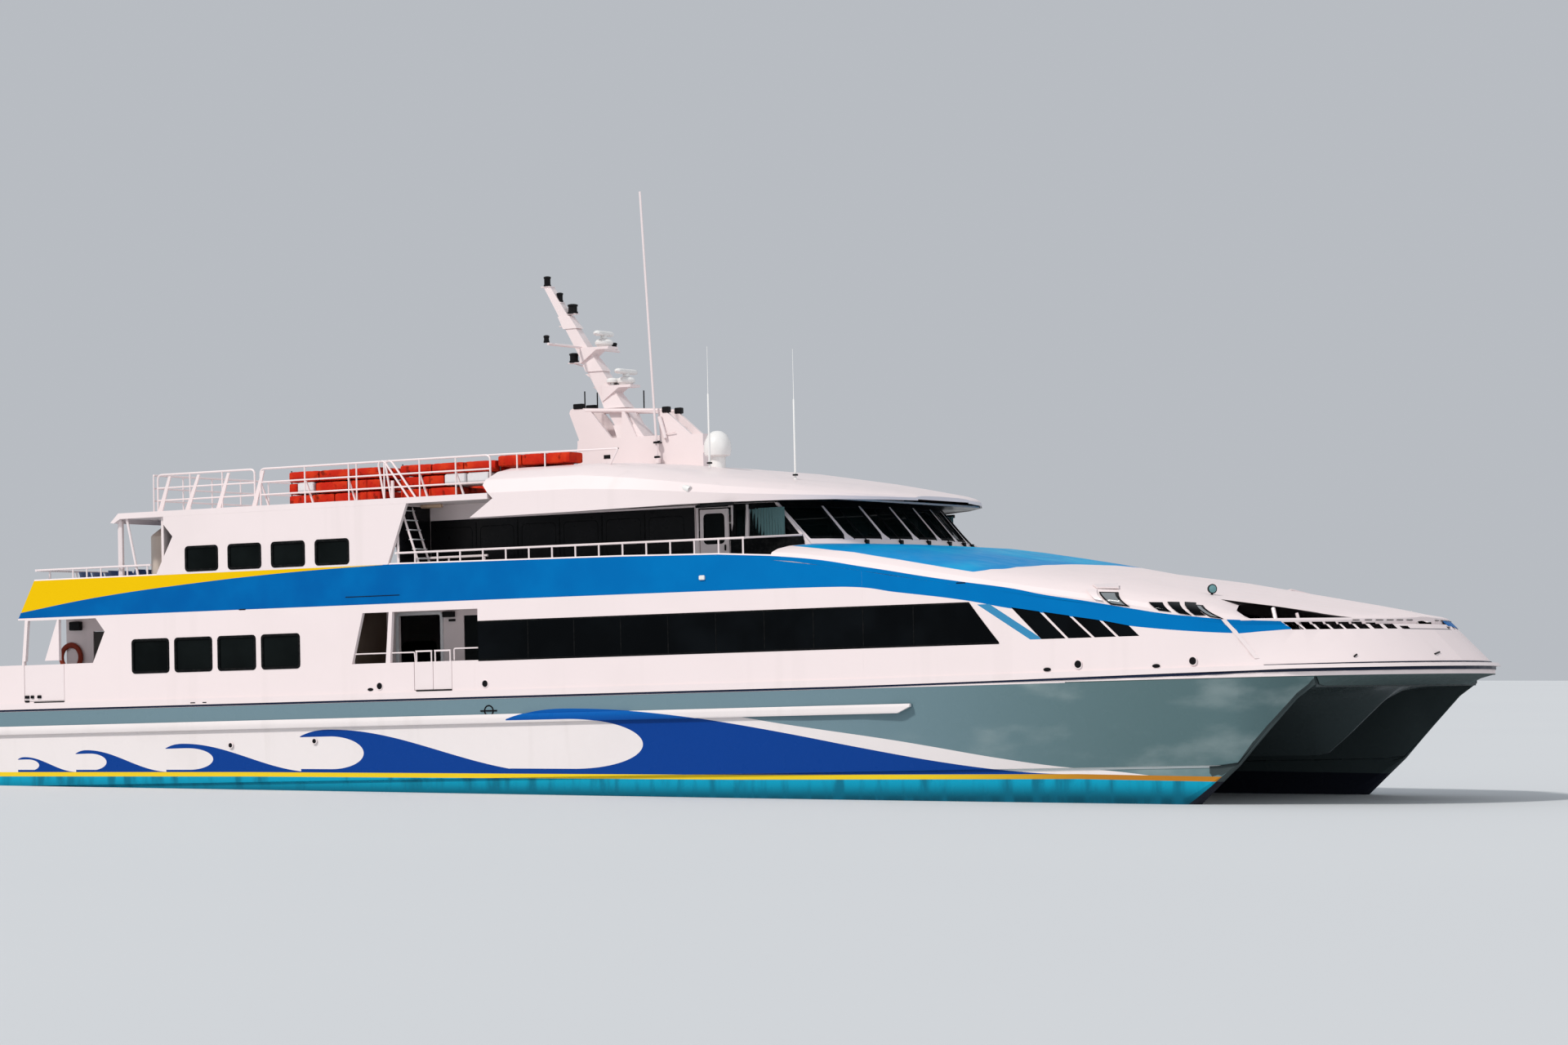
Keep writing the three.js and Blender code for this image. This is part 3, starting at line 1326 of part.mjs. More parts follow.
pair('boarding_gate_aft', boardingGate(GATE.midX - GATE.halfWidth + SLIT, GATE.midX - SLIT / 2), PAINT_WHITE);
pair('boarding_gate_fore', boardingGate(GATE.midX + GATE.halfWidth - SLIT, GATE.midX + SLIT / 2), PAINT_WHITE);

pair('stern_gate', block(
  STERN_GATE.fromX + SLIT, STERN_GATE.toX - SLIT, OUTER + 0.005, OUTER + LEAF,
  STERN_GATE.lowZ + SLIT, BULWARK_Z - 0.005,
), PAINT_WHITE);

// Doors
function doorLeaf(x0, y, floor) {
  const low = floor + 0.06 + SLIT;
  const leaf = block(
    x0 + 0.015, x0 + 0.015 + DOOR.thick, y - DOOR.halfWidth + SLIT, y + DOOR.halfWidth - SLIT,
    low, low + DOOR.height - 2 * SLIT,
  );
  return cut(leaf, block(x0 - 1, x0 + 1, y - 0.22, y + 0.22, floor + 1.1, floor + 1.7));
}

pair('saloon_door', doorLeaf(SALOON_AFT_X, -MAIN_DOOR_Y, DECK_Z), PAINT_WHITE);
piece('aft_house_door', doorLeaf(AFT_HOUSE_X, -UPPER_DOOR_Y, UPPER_DECK_Z), PAINT_WHITE);

function helmDoor() {
  const y0 = -CABIN_Y + 0.115;
  const leaf = block(
    HELM_DOOR.fromX + SLIT, HELM_DOOR.toX - SLIT, y0 - 0.04, y0 + 0.01,
    HELM_DOOR.lowZ + SLIT, HELM_DOOR.highZ - SLIT,
  );
  return cut(leaf, block(HELM_DOOR.fromX + 0.15, HELM_DOOR.toX - 0.15, y0 - 1, y0 + 1, 6.15, 6.85));
}

pair('wheelhouse_door', helmDoor(), PAINT_WHITE);

// Seats on the open aft deck: rows on a common plinth
function aftSeats() {
  const rows = [-16.2, -15.2, -14.3].map((x) => profileXZ([
    [x, UPPER_DECK_Z + 0.05],
    [x + 0.12, UPPER_DECK_Z + 0.05],
    [x + 0.12, UPPER_DECK_Z + 0.38],
    [x + 0.5, UPPER_DECK_Z + 0.42],
    [x + 0.5, UPPER_DECK_Z + 0.48],
    [x + 0.1, UPPER_DECK_Z + 0.48],
    [x - 0.06, UPPER_DECK_Z + 1.05],
    [x - 0.12, UPPER_DECK_Z + 1.05],
  ], -4.9, 4.9));
  const plinth = block(-16.3, -13.9, -4.9, 4.9, UPPER_DECK_Z + GAP, UPPER_DECK_Z + 0.08);
  return join(rows, plinth);
}

piece('aft_deck_seats', aftSeats(), SEAT_BLUE, 0.6);

export default ferry;
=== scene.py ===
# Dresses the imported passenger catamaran: camera and light, paint, glazing, rails and deck gear.
# Lengths are metres of the real ship, as in the solids, and HALF turns them into the 1:2 model.
import math

import bmesh
import bpy
import numpy as np
from mathutils import Matrix, Vector


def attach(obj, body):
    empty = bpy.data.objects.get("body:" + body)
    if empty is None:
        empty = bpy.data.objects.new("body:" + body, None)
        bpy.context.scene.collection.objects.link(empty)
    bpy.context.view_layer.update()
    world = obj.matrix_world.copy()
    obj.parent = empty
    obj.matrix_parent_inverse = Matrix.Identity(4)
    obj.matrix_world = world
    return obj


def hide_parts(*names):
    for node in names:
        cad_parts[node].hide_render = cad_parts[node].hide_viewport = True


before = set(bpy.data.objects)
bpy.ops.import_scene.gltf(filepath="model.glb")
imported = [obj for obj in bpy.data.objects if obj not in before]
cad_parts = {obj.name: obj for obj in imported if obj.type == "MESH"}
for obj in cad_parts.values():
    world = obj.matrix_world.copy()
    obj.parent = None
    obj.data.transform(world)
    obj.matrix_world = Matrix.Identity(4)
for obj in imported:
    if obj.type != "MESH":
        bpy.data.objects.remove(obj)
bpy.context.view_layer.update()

HALF = 0.5
SHIP = "ship"

# Driving dimensions of the ship, as in the solids
BEAM = 6.1
STERN_X, BOW_START_X, BOW_X = -22.0, 12.0, 21.5
DECK_Z, EDGE_Z, UPPER_DECK_Z, ROOF_FOOT_Z = 2.65, 3.75, 5.10, 7.605
BOW_LEAN, LEAN_START_X, LEAN_RUN = 1.05, 17.3, 3.3
WATER_FALL = 0.0265


# Camera and light

def stage_camera():
    """The camera stands 3.2 m above the water, 119 m off the bow quarter, and looks up 1.8 degrees."""
    water_up = Vector((WATER_FALL, 0.0, 1.0)).normalized()
    along = Vector((1.0, 0.0, -WATER_FALL)).normalized()
    level = (-0.5135 * along + 0.8581 * Vector((0, 1, 0))).normalized()
    pitch = math.radians(1.81)
    ahead = level * math.cos(pitch) + water_up * math.sin(pitch)
    right = ahead.cross(water_up).normalized()
    turn = Matrix((right, right.cross(ahead), -ahead)).transposed().to_4x4()
    data = bpy.data.cameras.new("camera")
    data.lens, data.sensor_width = 105.0, 36.0
    data.clip_start, data.clip_end = 0.5, 2000.0
    camera = bpy.data.objects.new("camera", data)
    camera.matrix_world = Matrix.Translation(Vector((62.95, -100.6, 1.51)) * HALF) @ turn
    bpy.context.scene.collection.objects.link(camera)
    bpy.context.scene.camera = camera


def distant_light(name, direction, strength, angle, color):
    """A soft distant light that shines along a direction."""
    data = bpy.data.lights.new(name, "SUN")
    data.energy, data.angle, data.color = strength, math.radians(angle), color
    lamp = bpy.data.objects.new(name, data)
    lamp.rotation_euler = Vector(direction).to_track_quat("-Z", "Y").to_euler()
    bpy.context.scene.collection.objects.link(lamp)


def stage_light():
    """One soft key from behind the camera, high on its left, and an even pale dome."""
    distant_light("key", (0.25, 0.75, -0.80), 2.30, 6.0, (1.0, 0.965, 0.93))
    distant_light("fill", (-0.85, 0.40, -0.35), 0.45, 40.0, (0.93, 0.96, 1.0))
    bpy.context.scene.view_settings.view_transform = "Standard"
    world = bpy.data.worlds.new("dome")
    bpy.context.scene.world = world
    world.use_nodes = True
    glow = world.node_tree.nodes["Background"].inputs
    glow["Color"].default_value = (0.80, 0.84, 0.90, 1.0)
    glow["Strength"].default_value = 0.60


# Node materials

class Field:
    """A value that nodes work out. Its operators add Math nodes; & and | join masks of 0 and 1."""

    def __init__(self, paint, socket):
        self.paint, self.socket = paint, socket

    def math(self, operation, *others):
        return self.paint.math(operation, self, *others)

    def between(self, low, high):
        return (self > low) & (self < high)

    def __rsub__(self, other):
        return self.paint.math("SUBTRACT", other, self)

    def __add__(self, other):
        return self.math("ADD", other)

    def __sub__(self, other):
        return self.math("SUBTRACT", other)

    def __mul__(self, other):
        return self.math("MULTIPLY", other)

    def __truediv__(self, other):
        return self.math("DIVIDE", other)

    def __pow__(self, other):
        return self.math("POWER", other)

    def __gt__(self, other):
        return self.math("GREATER_THAN", other)

    def __lt__(self, other):
        return self.math("LESS_THAN", other)

    def __and__(self, other):
        return self.math("MULTIPLY", other)

    def __or__(self, other):
        return self.math("MAXIMUM", other)


class Paint:
    """A material being built. Its methods add nodes; lay puts a colour over the last one by a mask."""

    def __init__(self, name, **sockets):
        self.material = bpy.data.materials.new(name)
        self.material.use_nodes = True
        self.tree = self.material.node_tree
        self.shader = self.tree.nodes["Principled BSDF"].inputs
        place = self.add("ShaderNodeTexCoord").outputs["Object"]
        metres = self.add("ShaderNodeVectorMath", place, operation="SCALE")
        metres.inputs["Scale"].default_value = 1.0 / HALF
        self.metres = metres.outputs["Vector"]
        self.x, self.y, self.z = self.parts(self.metres)
        self.color = None
        for socket, value in sockets.items():
            self.feed(self.shader[socket.replace("_", " ")], value)

    def add(self, kind, *sources, **settings):
        node = self.tree.nodes.new(kind)
        for key, value in settings.items():
            setattr(node, key, value)
        for socket, source in zip(node.inputs, sources):
            self.feed(socket, source)
        return node

    def feed(self, socket, source):
        source = getattr(source, "socket", source)
        if isinstance(source, bpy.types.NodeSocket):
            self.tree.links.new(source, socket)
        else:
            socket.default_value = source

    def parts(self, vector):
        return [Field(self, out) for out in self.add("ShaderNodeSeparateXYZ", vector).outputs]

    def normal(self):
        return self.parts(self.add("ShaderNodeNewGeometry").outputs["True Normal"])

    def math(self, operation, a, b=0.0, c=0.0):
        return Field(self, self.add("ShaderNodeMath", a, b, c, operation=operation).outputs[0])

    def ramp(self, value, low, high, out_low=0.0, out_high=1.0):
        node = self.add("ShaderNodeMapRange", value, low, high, out_low, out_high,
                        interpolation_type="SMOOTHSTEP")
        return Field(self, node.outputs["Result"])

    def noise(self, scale, stretch=(1, 1, 1), detail=3.0):
        moved = self.add("ShaderNodeVectorMath", self.metres, stretch, operation="MULTIPLY").outputs[0]
        node = self.add("ShaderNodeTexNoise", moved)
        node.inputs["Scale"].default_value = scale
        node.inputs["Detail"].default_value = detail
        return Field(self, node.outputs[0])

    def line(self, value, table, smooth=True):
        """A height that follows the table's points, smoothly or straight between them."""
        xs, ys = zip(*table)
        low, high = min(ys) - 0.5, max(ys) + 0.5
        share = self.add("ShaderNodeMapRange", value, xs[0], xs[-1], 0.0, 1.0).outputs["Result"]
        node = self.add("ShaderNodeFloatCurve", 1.0, share)
        points = node.mapping.curves[0].points
        for x, y in table[1:-1]:
            points.new((x - xs[0]) / (xs[-1] - xs[0]), (y - low) / (high - low))
        points[0].location = (0.0, (ys[0] - low) / (high - low))
        points[len(points) - 1].location = (1.0, (ys[-1] - low) / (high - low))
        for point in points:
            point.handle_type = "AUTO_CLAMPED" if smooth else "VECTOR"
        node.mapping.update()
        return self.math("MULTIPLY_ADD", node.outputs[0], high - low, low)

    def mix(self, factor, a, b):
        node = self.add("ShaderNodeMix", data_type="RGBA")
        for index, source in ((0, factor), (6, a), (7, b)):
            self.feed(node.inputs[index], (*source, 1.0) if isinstance(source, tuple) else source)
        return node.outputs[2]

    def lay(self, mask, color):
        self.color = self.mix(mask, self.color, color)

    def weather(self, color, amount=0.08, streak=0.08):
        """Broad clouds of dust and thin runs down the plating, laid over a colour."""
        clouds = self.ramp(self.noise(0.35, detail=4.0), 0.45, 0.75, 0.0, amount)
        runs = self.ramp(self.noise(2.2, (1.0, 1.0, 0.05), 2.0), 0.56, 0.74, 0.0, streak)
        return self.mix(clouds | runs, color, DUST)

    def bump(self, height, depth):
        node = self.add("ShaderNodeBump")
        node.inputs["Strength"].default_value = 1.0
        node.inputs["Distance"].default_value = depth * HALF
        self.feed(node.inputs["Height"], height)
        self.feed(self.shader["Normal"], node.outputs[0])

    def plating(self, depth):
        """Long shallow hollows between frames, as welded plating has, and a fine orange peel."""
        frames = self.noise(0.55, (1.0, 1.0, 1.6), 1.0)
        self.bump(self.noise(38.0, detail=2.0) * 0.03 + frames, depth)

    def finish(self, color, grain, low, high, stretch=(1, 1, 1)):
        """Sets the colour, and a roughness that wanders between two values; gives the material."""
        self.feed(self.shader["Base Color"], color)
        self.feed(self.shader["Roughness"], self.ramp(self.noise(grain, stretch), 0.3, 0.7, low, high))
        return self.material


# Paints of the livery, the dust on them, and a near-black painted shadow
WHITE = (0.82, 0.715, 0.71)
HULL_WHITE = (0.78, 0.72, 0.71)
BLUE = (0.001, 0.13, 0.40)
YELLOW = (0.80, 0.50, 0.003)
LINE_YELLOW = (0.80, 0.56, 0.02)
HULL_GREY = (0.156, 0.239, 0.276)
PALE_BLUE = (0.045, 0.24, 0.44)
# Near black for the bow's downward faces: painted shadow under the overhang
UNDERSIDE_SHADOW = (0.008, 0.008, 0.009)
DUST = (0.45, 0.40, 0.36)


def plain_paint(name, color, rough=0.38, amount=0.08, streak=0.08, coat=0.25, gloss=0.5):
    """Brushed enamel: dust in clouds, thin runs, a gloss that wanders."""
    paint = Paint(name, Metallic=0.0, Coat_Weight=coat, Coat_Roughness=0.18, Specular_IOR_Level=gloss)
    paint.plating(0.0025)
    return paint.finish(paint.weather(color, amount, streak), 3.0, rough - 0.06, rough + 0.08)


# Lines of the livery on the side walls. Columns: X, height
BAND_LOW = [(-17.5, 4.93), (4.08, 4.91), (8.10, 4.88), (9.57, 4.70), (11.32, 4.46), (12.64, 4.21),
            (14.15, 3.98), (14.91, 3.86), (15.64, 3.72), (16.62, 3.60), (17.58, 3.51), (18.3, 3.46)]
BAND_HIGH = [(-17.5, 5.93), (-5.19, 5.93), (1.73, 5.85), (4.61, 5.79), (6.72, 5.64), (8.80, 5.32),
             (10.45, 5.03), (11.32, 4.89), (12.63, 4.69), (13.49, 4.51), (14.56, 4.33), (15.70, 4.12),
             (16.62, 3.96), (17.57, 3.84), (17.94, 3.79), (18.3, 3.75)]
WEDGE_LOW = [(-17.5, 5.06), (-14.6, 5.42), (-11.6, 5.66), (-8.5, 5.83), (-5.6, 5.91), (0.0, 5.98)]
SECOND_LOW = [(17.9, 3.44), (18.20, 3.46), (19.09, 3.54), (19.3, 3.56)]
SECOND_HIGH = [(17.9, 3.795), (17.97, 3.79), (18.89, 3.73), (19.3, 3.70)]
# Edges of the turquoise field. Columns: X, distance from the centre line; and Y, X of the front edge
LAKE_SIDE = [(5.9, 5.0), (6.35, 5.24), (6.97, 5.43), (8.57, 5.62), (9.62, 5.67), (11.11, 5.69), (12.2, 5.60)]
LAKE_FRONT = [(-6.1, 11.20), (-5.57, 11.48), (-5.10, 11.66), (-4.52, 11.79), (-3.62, 11.75), (-1.93, 11.54),
              (-0.11, 11.27), (1.88, 11.16), (6.1, 10.80)]


def livery():
    """White enamel: a blue band that falls towards the bow, a yellow wedge aft, a turquoise foredeck;
    near-black painted shadow on the bow's downward faces, and a dark painted shadow line along its crease.
    """
    paint = Paint("livery enamel", Metallic=0.0, Specular_IOR_Level=0.02)
    x, y, z = paint.x, paint.y, paint.z
    across = y.math("ABSOLUTE")
    _, normal_y, normal_z = paint.normal()
    outward = normal_y * y.math("SIGN") > 0.12
    band = (z > paint.line(x, BAND_LOW)) & (z < paint.line(x, BAND_HIGH)) & (x > -17.45) & (across > 4.6)
    band = band & (x < paint.ramp(z, 3.48, 3.78, 18.09, 17.88)) & outward
    wedge = band & (z > paint.line(x, WEDGE_LOW)) & (x < -5.4)
    second = (x > paint.ramp(z, 3.46, 3.79, 18.20, 17.97)) & (x < paint.ramp(z, 3.54, 3.73, 19.09, 18.89))
    second = second & (z > paint.line(x, SECOND_LOW, False)) & outward
    second = second & (z < paint.line(x, SECOND_HIGH, False))
    # A thin dark line along the bow's crease: painted shadow
    crease_shadow = z.between(3.522, 3.540) & (x > 20.15) & (across < 1.45)
    slant = (4.34 - z) * 1.60 + 11.73
    stripe = (x > slant) & (x < slant + 0.33) & z.between(3.47, 4.335) & outward
    lake = (across < paint.line(x, LAKE_SIDE)) & (x < paint.line(y, LAKE_FRONT))
    lake = lake & (normal_z > 0.25) & x.between(6.15, 12.2) & z.between(4.6, 6.3)
    faded = paint.ramp(paint.noise(0.8, (1.0, 0.6, 1.0)), 0.30, 0.85)
    blue = paint.mix(paint.ramp(x, -9.0, 9.0), (0.001, 0.10, 0.34), (0.001, 0.155, 0.44))
    blue = paint.mix(faded * 0.4, blue, (0.001, 0.20, 0.52))
    ripple = paint.ramp(paint.noise(0.45, (1.0, 0.5, 1.0)), 0.4, 0.68)
    paint.color = paint.weather(WHITE, 0.06, 0.05)
    paint.lay(band, blue)
    paint.lay(wedge, YELLOW)
    paint.lay(second, blue)
    # Painted shadow along the crease
    paint.lay(crease_shadow, (0.05, 0.06, 0.08))
    paint.lay(stripe, PALE_BLUE)
    # Downward faces at the bow are painted near black: painted shadow under the overhang
    paint.lay((normal_z < -0.1) & (x > 12.0), UNDERSIDE_SHADOW)
    paint.lay(lake, paint.mix(ripple, (0.002, 0.24, 0.56), (0.003, 0.36, 0.64)))
    paint.plating(0.003)
    return paint.finish(paint.color, 2.4, 0.30, 0.44)


# Columns of the wave ornament: X of the crest's tip, X of the trough ahead, height, eye's share, fullness
WAVES = [
    (-17.54, -15.45, 0.40, 0.35, 1.1),
    (-15.55, -12.30, 0.58, 0.32, 1.1),
    (-12.52, -7.50, 0.74, 0.31, 1.1),
    (-8.13, 0.20, 1.10, 0.24, 1.15),
    (-1.65, 13.6, 1.62, 0.26, 0.82),
]
# Shares of a wave's length or height: the crest's reach, and the oval eye
CREST = 0.12
EYE_CENTRE, EYE_HALF, EYE_ROUND, UNDER_EYE = 0.46, 0.38, 0.52, 0.06
# Top of the yellow line, and of the white area forward. Columns: X, height
BOOT_LINE = [(-22.2, 0.90), (-9.9, 0.72), (5.0, 0.43), (13.9, 0.31), (17.9, 0.17), (20.0, 0.10)]
SWOOSH = [(3.0, 2.2), (5.0, 1.86), (6.38, 1.63), (8.74, 1.28), (9.97, 1.08), (11.86, 0.74), (13.43, 0.50),
          (14.8, 0.36), (16.0, 0.2)]
LINE_HIGH = 0.115
STRAKE_LOW_Z, STRAKE_HIGH_Z, STRAKE_Y = 1.825, 2.055, 6.105


def wave(x, z, tip, trough, height, eye, fullness):
    """One rolling wave: a cosine back from crest to trough, less an oval eye under its curling arm."""
    share = (x - tip) / (trough - tip)
    lift = z / height
    back = ((share - CREST) / (1.0 - CREST)).math("MAXIMUM", 0.0)
    early = ((CREST - share) / CREST).math("MAXIMUM", 0.0)
    swell = (back * math.pi).math("COSINE") * 0.5 + 0.5
    top = swell ** fullness - early ** 2.4 * 0.16
    reach = eye * EYE_ROUND
    ahead = ((share - (eye - reach)) / reach).math("MAXIMUM", 0.0)
    oval = (1.0 - ahead * ahead).math("MAXIMUM", 0.0).math("SQRT") * EYE_HALF
    in_eye = (lift < oval + EYE_CENTRE - early * 0.02) & (lift > EYE_CENTRE - oval)
    in_eye = in_eye & (lift > UNDER_EYE / height) & (share < eye)
    return (lift < top) & share.between(0.0, 1.0) & (1.0 - in_eye)


def hull_paint():
    """Grey-green topsides, white aft with rolling blue waves, a yellow line and cyan below it; the faces
    towards the tunnel dark as painted shade, and a pale painted highlight along the chine.
    """
    paint = Paint("hull enamel", Metallic=0.0, Specular_IOR_Level=0.08)
    x, z = paint.x, paint.z
    across = paint.y.math("ABSOLUTE")
    boot = paint.line(x, BOOT_LINE, False)
    outer = across > paint.ramp(x, 12.0, 19.5, 5.2, 4.86)
    white = paint.weather(HULL_WHITE, 0.12, 0.10)
    waves = wave(x, z - boot, *WAVES[0])
    for row in WAVES[1:]:
        waves = waves | wave(x, z - boot, *row)
    patchy = paint.ramp(paint.noise(0.55, (0.6, 1.0, 1.5), 6.0), 0.50, 0.70, 0.0, 0.55)
    slime = paint.ramp(paint.noise(2.5, (1.0, 1.0, 0.25), 4.0), 0.46, 0.70, 0.0, 0.8)
    sea = paint.mix(paint.ramp(boot - z, 0.12, 0.62), (0.004, 0.31, 0.47), (0.003, 0.065, 0.105))
    sea = paint.mix(slime, sea, (0.004, 0.12, 0.19))
    paint.color = paint.mix(paint.ramp(x, 6.0, 17.0), HULL_GREY, (0.115, 0.19, 0.20))
    paint.lay(paint.ramp(x, 17.5, 21.0), (0.085, 0.145, 0.145))
    paint.lay(patchy * paint.ramp(x, 8.0, 13.0), (0.32, 0.39, 0.39))
    paint.lay(outer & (z < paint.line(x, SWOOSH)) & (z < 1.84) & (x < 16.0), white)
    paint.lay(z.between(STRAKE_LOW_Z, STRAKE_HIGH_Z) & (across > STRAKE_Y), white)
    # A pale line along the chine forward: painted highlight on the spray rail
    paint.lay(z.between(0.40, 0.455) & (x > 11.5) & outer, (0.62, 0.66, 0.66))
    paint.lay(waves & outer, paint.mix(paint.ramp(z, 1.7, 2.05), (0.003, 0.045, 0.25), (0.003, 0.10, 0.38)))
    # Faces that look into the tunnel are painted dark: painted shade
    paint.lay(1.0 - outer, (0.045, 0.06, 0.062))
    paint.lay((z < boot) & (z > boot - LINE_HIGH) & outer,
              paint.mix(paint.ramp(x, 9.0, 15.0), LINE_YELLOW, (0.45, 0.18, 0.02)))
    # Below the yellow line the tunnel-side faces are near black as painted shade; outer faces take the cyan
    # antifouling
    paint.lay(z < boot - LINE_HIGH, paint.mix(outer, (0.012, 0.014, 0.022), sea))
    paint.plating(0.005)
    return paint.finish(paint.color, 1.6, 0.20, 0.34)


def deck_paint():
    """Matt non-slip grey with worn paths on the level faces, white on the edge, and under the bow a dark
    grey-green: the hull's colour, darkened further as painted shade.
    """
    paint = Paint("non-slip deck paint", Metallic=0.0, Specular_IOR_Level=0.3)
    worn = paint.ramp(paint.noise(0.8, detail=5.0), 0.42, 0.68)
    # Under the bow the edge faces take a dark grey-green: the hull's colour, darkened further as painted
    # shade
    edge = paint.mix((paint.x > 14.0) & (paint.z < 2.46), WHITE, (0.06, 0.095, 0.095))
    grey = paint.mix(worn, (0.24, 0.27, 0.28), (0.36, 0.38, 0.37))
    paint.bump(paint.noise(160.0), 0.003)
    return paint.finish(paint.mix(paint.normal()[2] > 0.5, edge, grey), 9.0, 0.62, 0.86)


def cowl_paint():
    """White enamel on the roof cowl, near black on the downward faces under its visor."""
    paint = Paint("cowl enamel", Metallic=0.0, Coat_Weight=0.2, Coat_Roughness=0.18, Specular_IOR_Level=0.3)
    under = (paint.normal()[2] < -0.3) & (paint.x > 3.2)
    paint.plating(0.0025)
    return paint.finish(paint.mix(under, paint.weather(WHITE), (0.008, 0.009, 0.010)), 3.0, 0.32, 0.46)


def glazing(name, color, clear=0.0):
    """Dark tinted glass: a near-black gloss with a slow ripple of the pane."""
    paint = Paint(name, Metallic=0.0, Specular_IOR_Level=0.04)
    paint.bump(paint.noise(1.4, detail=1.0), 0.004)
    if clear:
        alpha = paint.ramp(paint.noise(1.1), 0.3, 0.7, 1.0 - clear, 1.0 - clear * 0.8)
        paint.feed(paint.shader["Alpha"], alpha)
    tint = paint.mix(paint.ramp(paint.noise(0.7), 0.35, 0.7), color, tuple(c * 2.2 for c in color))
    return paint.finish(tint, 2.0, 0.03, 0.08)


def two_tone(name, color, other, share, grain, rough, stretch=(1, 1, 1), **sockets):
    """Two colours in soft patches. share is the patches' noise scale and its limits, rough is two values."""
    paint = Paint(name, **sockets)
    scale, low, high = share
    tint = paint.mix(paint.ramp(paint.noise(scale), low, high), color, other)
    return paint.finish(tint, grain, *rough, stretch)


def float_skin():
    """Red-orange moulded foam: a fine grain, sun-bleached tops, and dark patches in place of the shade in its
    dimples: painted shade.
    """
    paint = Paint("float foam", Metallic=0.0, Specular_IOR_Level=0.05)
    faded = paint.ramp(paint.noise(2.6, detail=4.0), 0.38, 0.7)
    foam = paint.mix(faded, (0.50, 0.020, 0.008), (0.62, 0.045, 0.012))
    # Dark patches laid by noise: painted shade standing in for the dimples' hollows
    dimple_shade = paint.ramp(paint.noise(5.5), 0.56, 0.72, 0.0, 0.7)
    paint.bump(paint.noise(2.2) * 5.0 + paint.noise(42.0), 0.006)
    return paint.finish(paint.mix(dimple_shade, foam, (0.09, 0.006, 0.003)), 16.0, 0.52, 0.72)


def window_blind():
    """Teal pleated blind behind the glass."""
    paint = Paint("window blind", Metallic=0.0, Sheen_Weight=0.3)
    pleat = paint.mix(paint.noise(3.0, (6.0, 1.0, 0.1)), (0.05, 0.13, 0.14), (0.16, 0.30, 0.30))
    return paint.finish(pleat, 30.0, 0.75, 0.95)


# Surfaces worked out on grids. A shell is (points, [arrays of faces])

def weave(rows, columns, round_columns=False, round_rows=False):
    """Quads of a grid of points, closed across its columns or its rows when asked."""
    i = np.arange(rows if round_rows else rows - 1)[:, None]
    j = np.arange(columns if round_columns else columns - 1)[None, :]
    a, b = i * columns + j, i * columns + (j + 1) % columns
    c, d = (i + 1) % rows * columns + (j + 1) % columns, (i + 1) % rows * columns + j
    return np.stack([a, b, c, d], -1).reshape(-1, 4)


def join(*shells):
    """Several shells as one: their points in a row, their faces renumbered."""
    points = np.vstack([p for p, _ in shells])
    starts = np.cumsum([0] + [len(p) for p, _ in shells[:-1]])
    return points, [f + s for (_, faces), s in zip(shells, starts) for f in faces]


def mirrored(*shells):
    """The shells' mirror images across the centre line."""
    points, faces = join(*shells)
    return points * (1, -1, 1), faces


def both_sides(*shells):
    """The shells and their mirror images."""
    return join(*shells, mirrored(*shells))


def moved(shell, *offsets):
    """One copy of a shell at each offset."""
    points, faces = shell
    return join(*[(points + np.array(offset, float), faces) for offset in offsets])


def turned(shell, degrees, axis="Z"):
    """A shell turned about an axis through the origin."""
    points, faces = shell
    return points @ np.array(Matrix.Rotation(math.radians(degrees), 3, axis)).T, faces


def loft(rings):
    """A closed body through rings of points, with a flat face at each end."""
    rings = np.asarray(rings, float)
    count, sides = rings.shape[:2]
    ends = [np.arange(sides)[None, ::-1], np.arange(sides)[None, :] + (count - 1) * sides]
    return rings.reshape(-1, 3), [weave(count, sides, round_columns=True), *ends]


def ring_loop(rings):
    """A body whose rings close on themselves, such as a frame round a window."""
    rings = np.asarray(rings, float)
    return rings.reshape(-1, 3), [weave(*rings.shape[:2], round_columns=True, round_rows=True)]


def thick(outer, inner):
    """A sheet with thickness: the outer and the inner grid, joined round the edge."""
    outer, inner = np.asarray(outer, float), np.asarray(inner, float)
    rows, columns = outer.shape[:2]
    faces = weave(rows, columns)
    edge = np.concatenate([
        np.arange(columns),
        np.arange(1, rows) * columns + columns - 1,
        (rows - 1) * columns + np.arange(columns - 2, -1, -1),
        np.arange(rows - 2, 0, -1) * columns,
    ])
    following = np.roll(edge, -1)
    far = rows * columns
    rim = np.stack([edge, following, following + far, edge + far], -1)
    return np.vstack([outer.reshape(-1, 3), inner.reshape(-1, 3)]), [faces, faces[:, ::-1] + far, rim]


def slab(x0, x1, y0, y1, z0, z1, edge=0.01):
    """A box with its edges cut back at 45 degrees: four rings of eight points, the end rings drawn in."""
    e = min(edge, 0.45 * min(x1 - x0, y1 - y0, z1 - z0))
    k = e * 0.6
    rings = []
    for z, draw in ((z0, e), (z0 + e, 0.0), (z1 - e, 0.0), (z1, e)):
        a, b, c, d = x0 + draw, x1 - draw, y0 + draw, y1 - draw
        rings.append([(a + k, c, z), (b - k, c, z), (b, c + k, z), (b, d - k, z),
                      (b - k, d, z), (a + k, d, z), (a, d - k, z), (a, c + k, z)])
    return loft(rings)


def on_wall(x0, x1, z0, z1, proud, behind=0.02, edge=0.003, wall=BEAM):
    """A thin box on the starboard face of a wall that stands at a distance from the centre line."""
    return slab(x0, x1, -wall - proud, -wall + behind, z0, z1, edge)


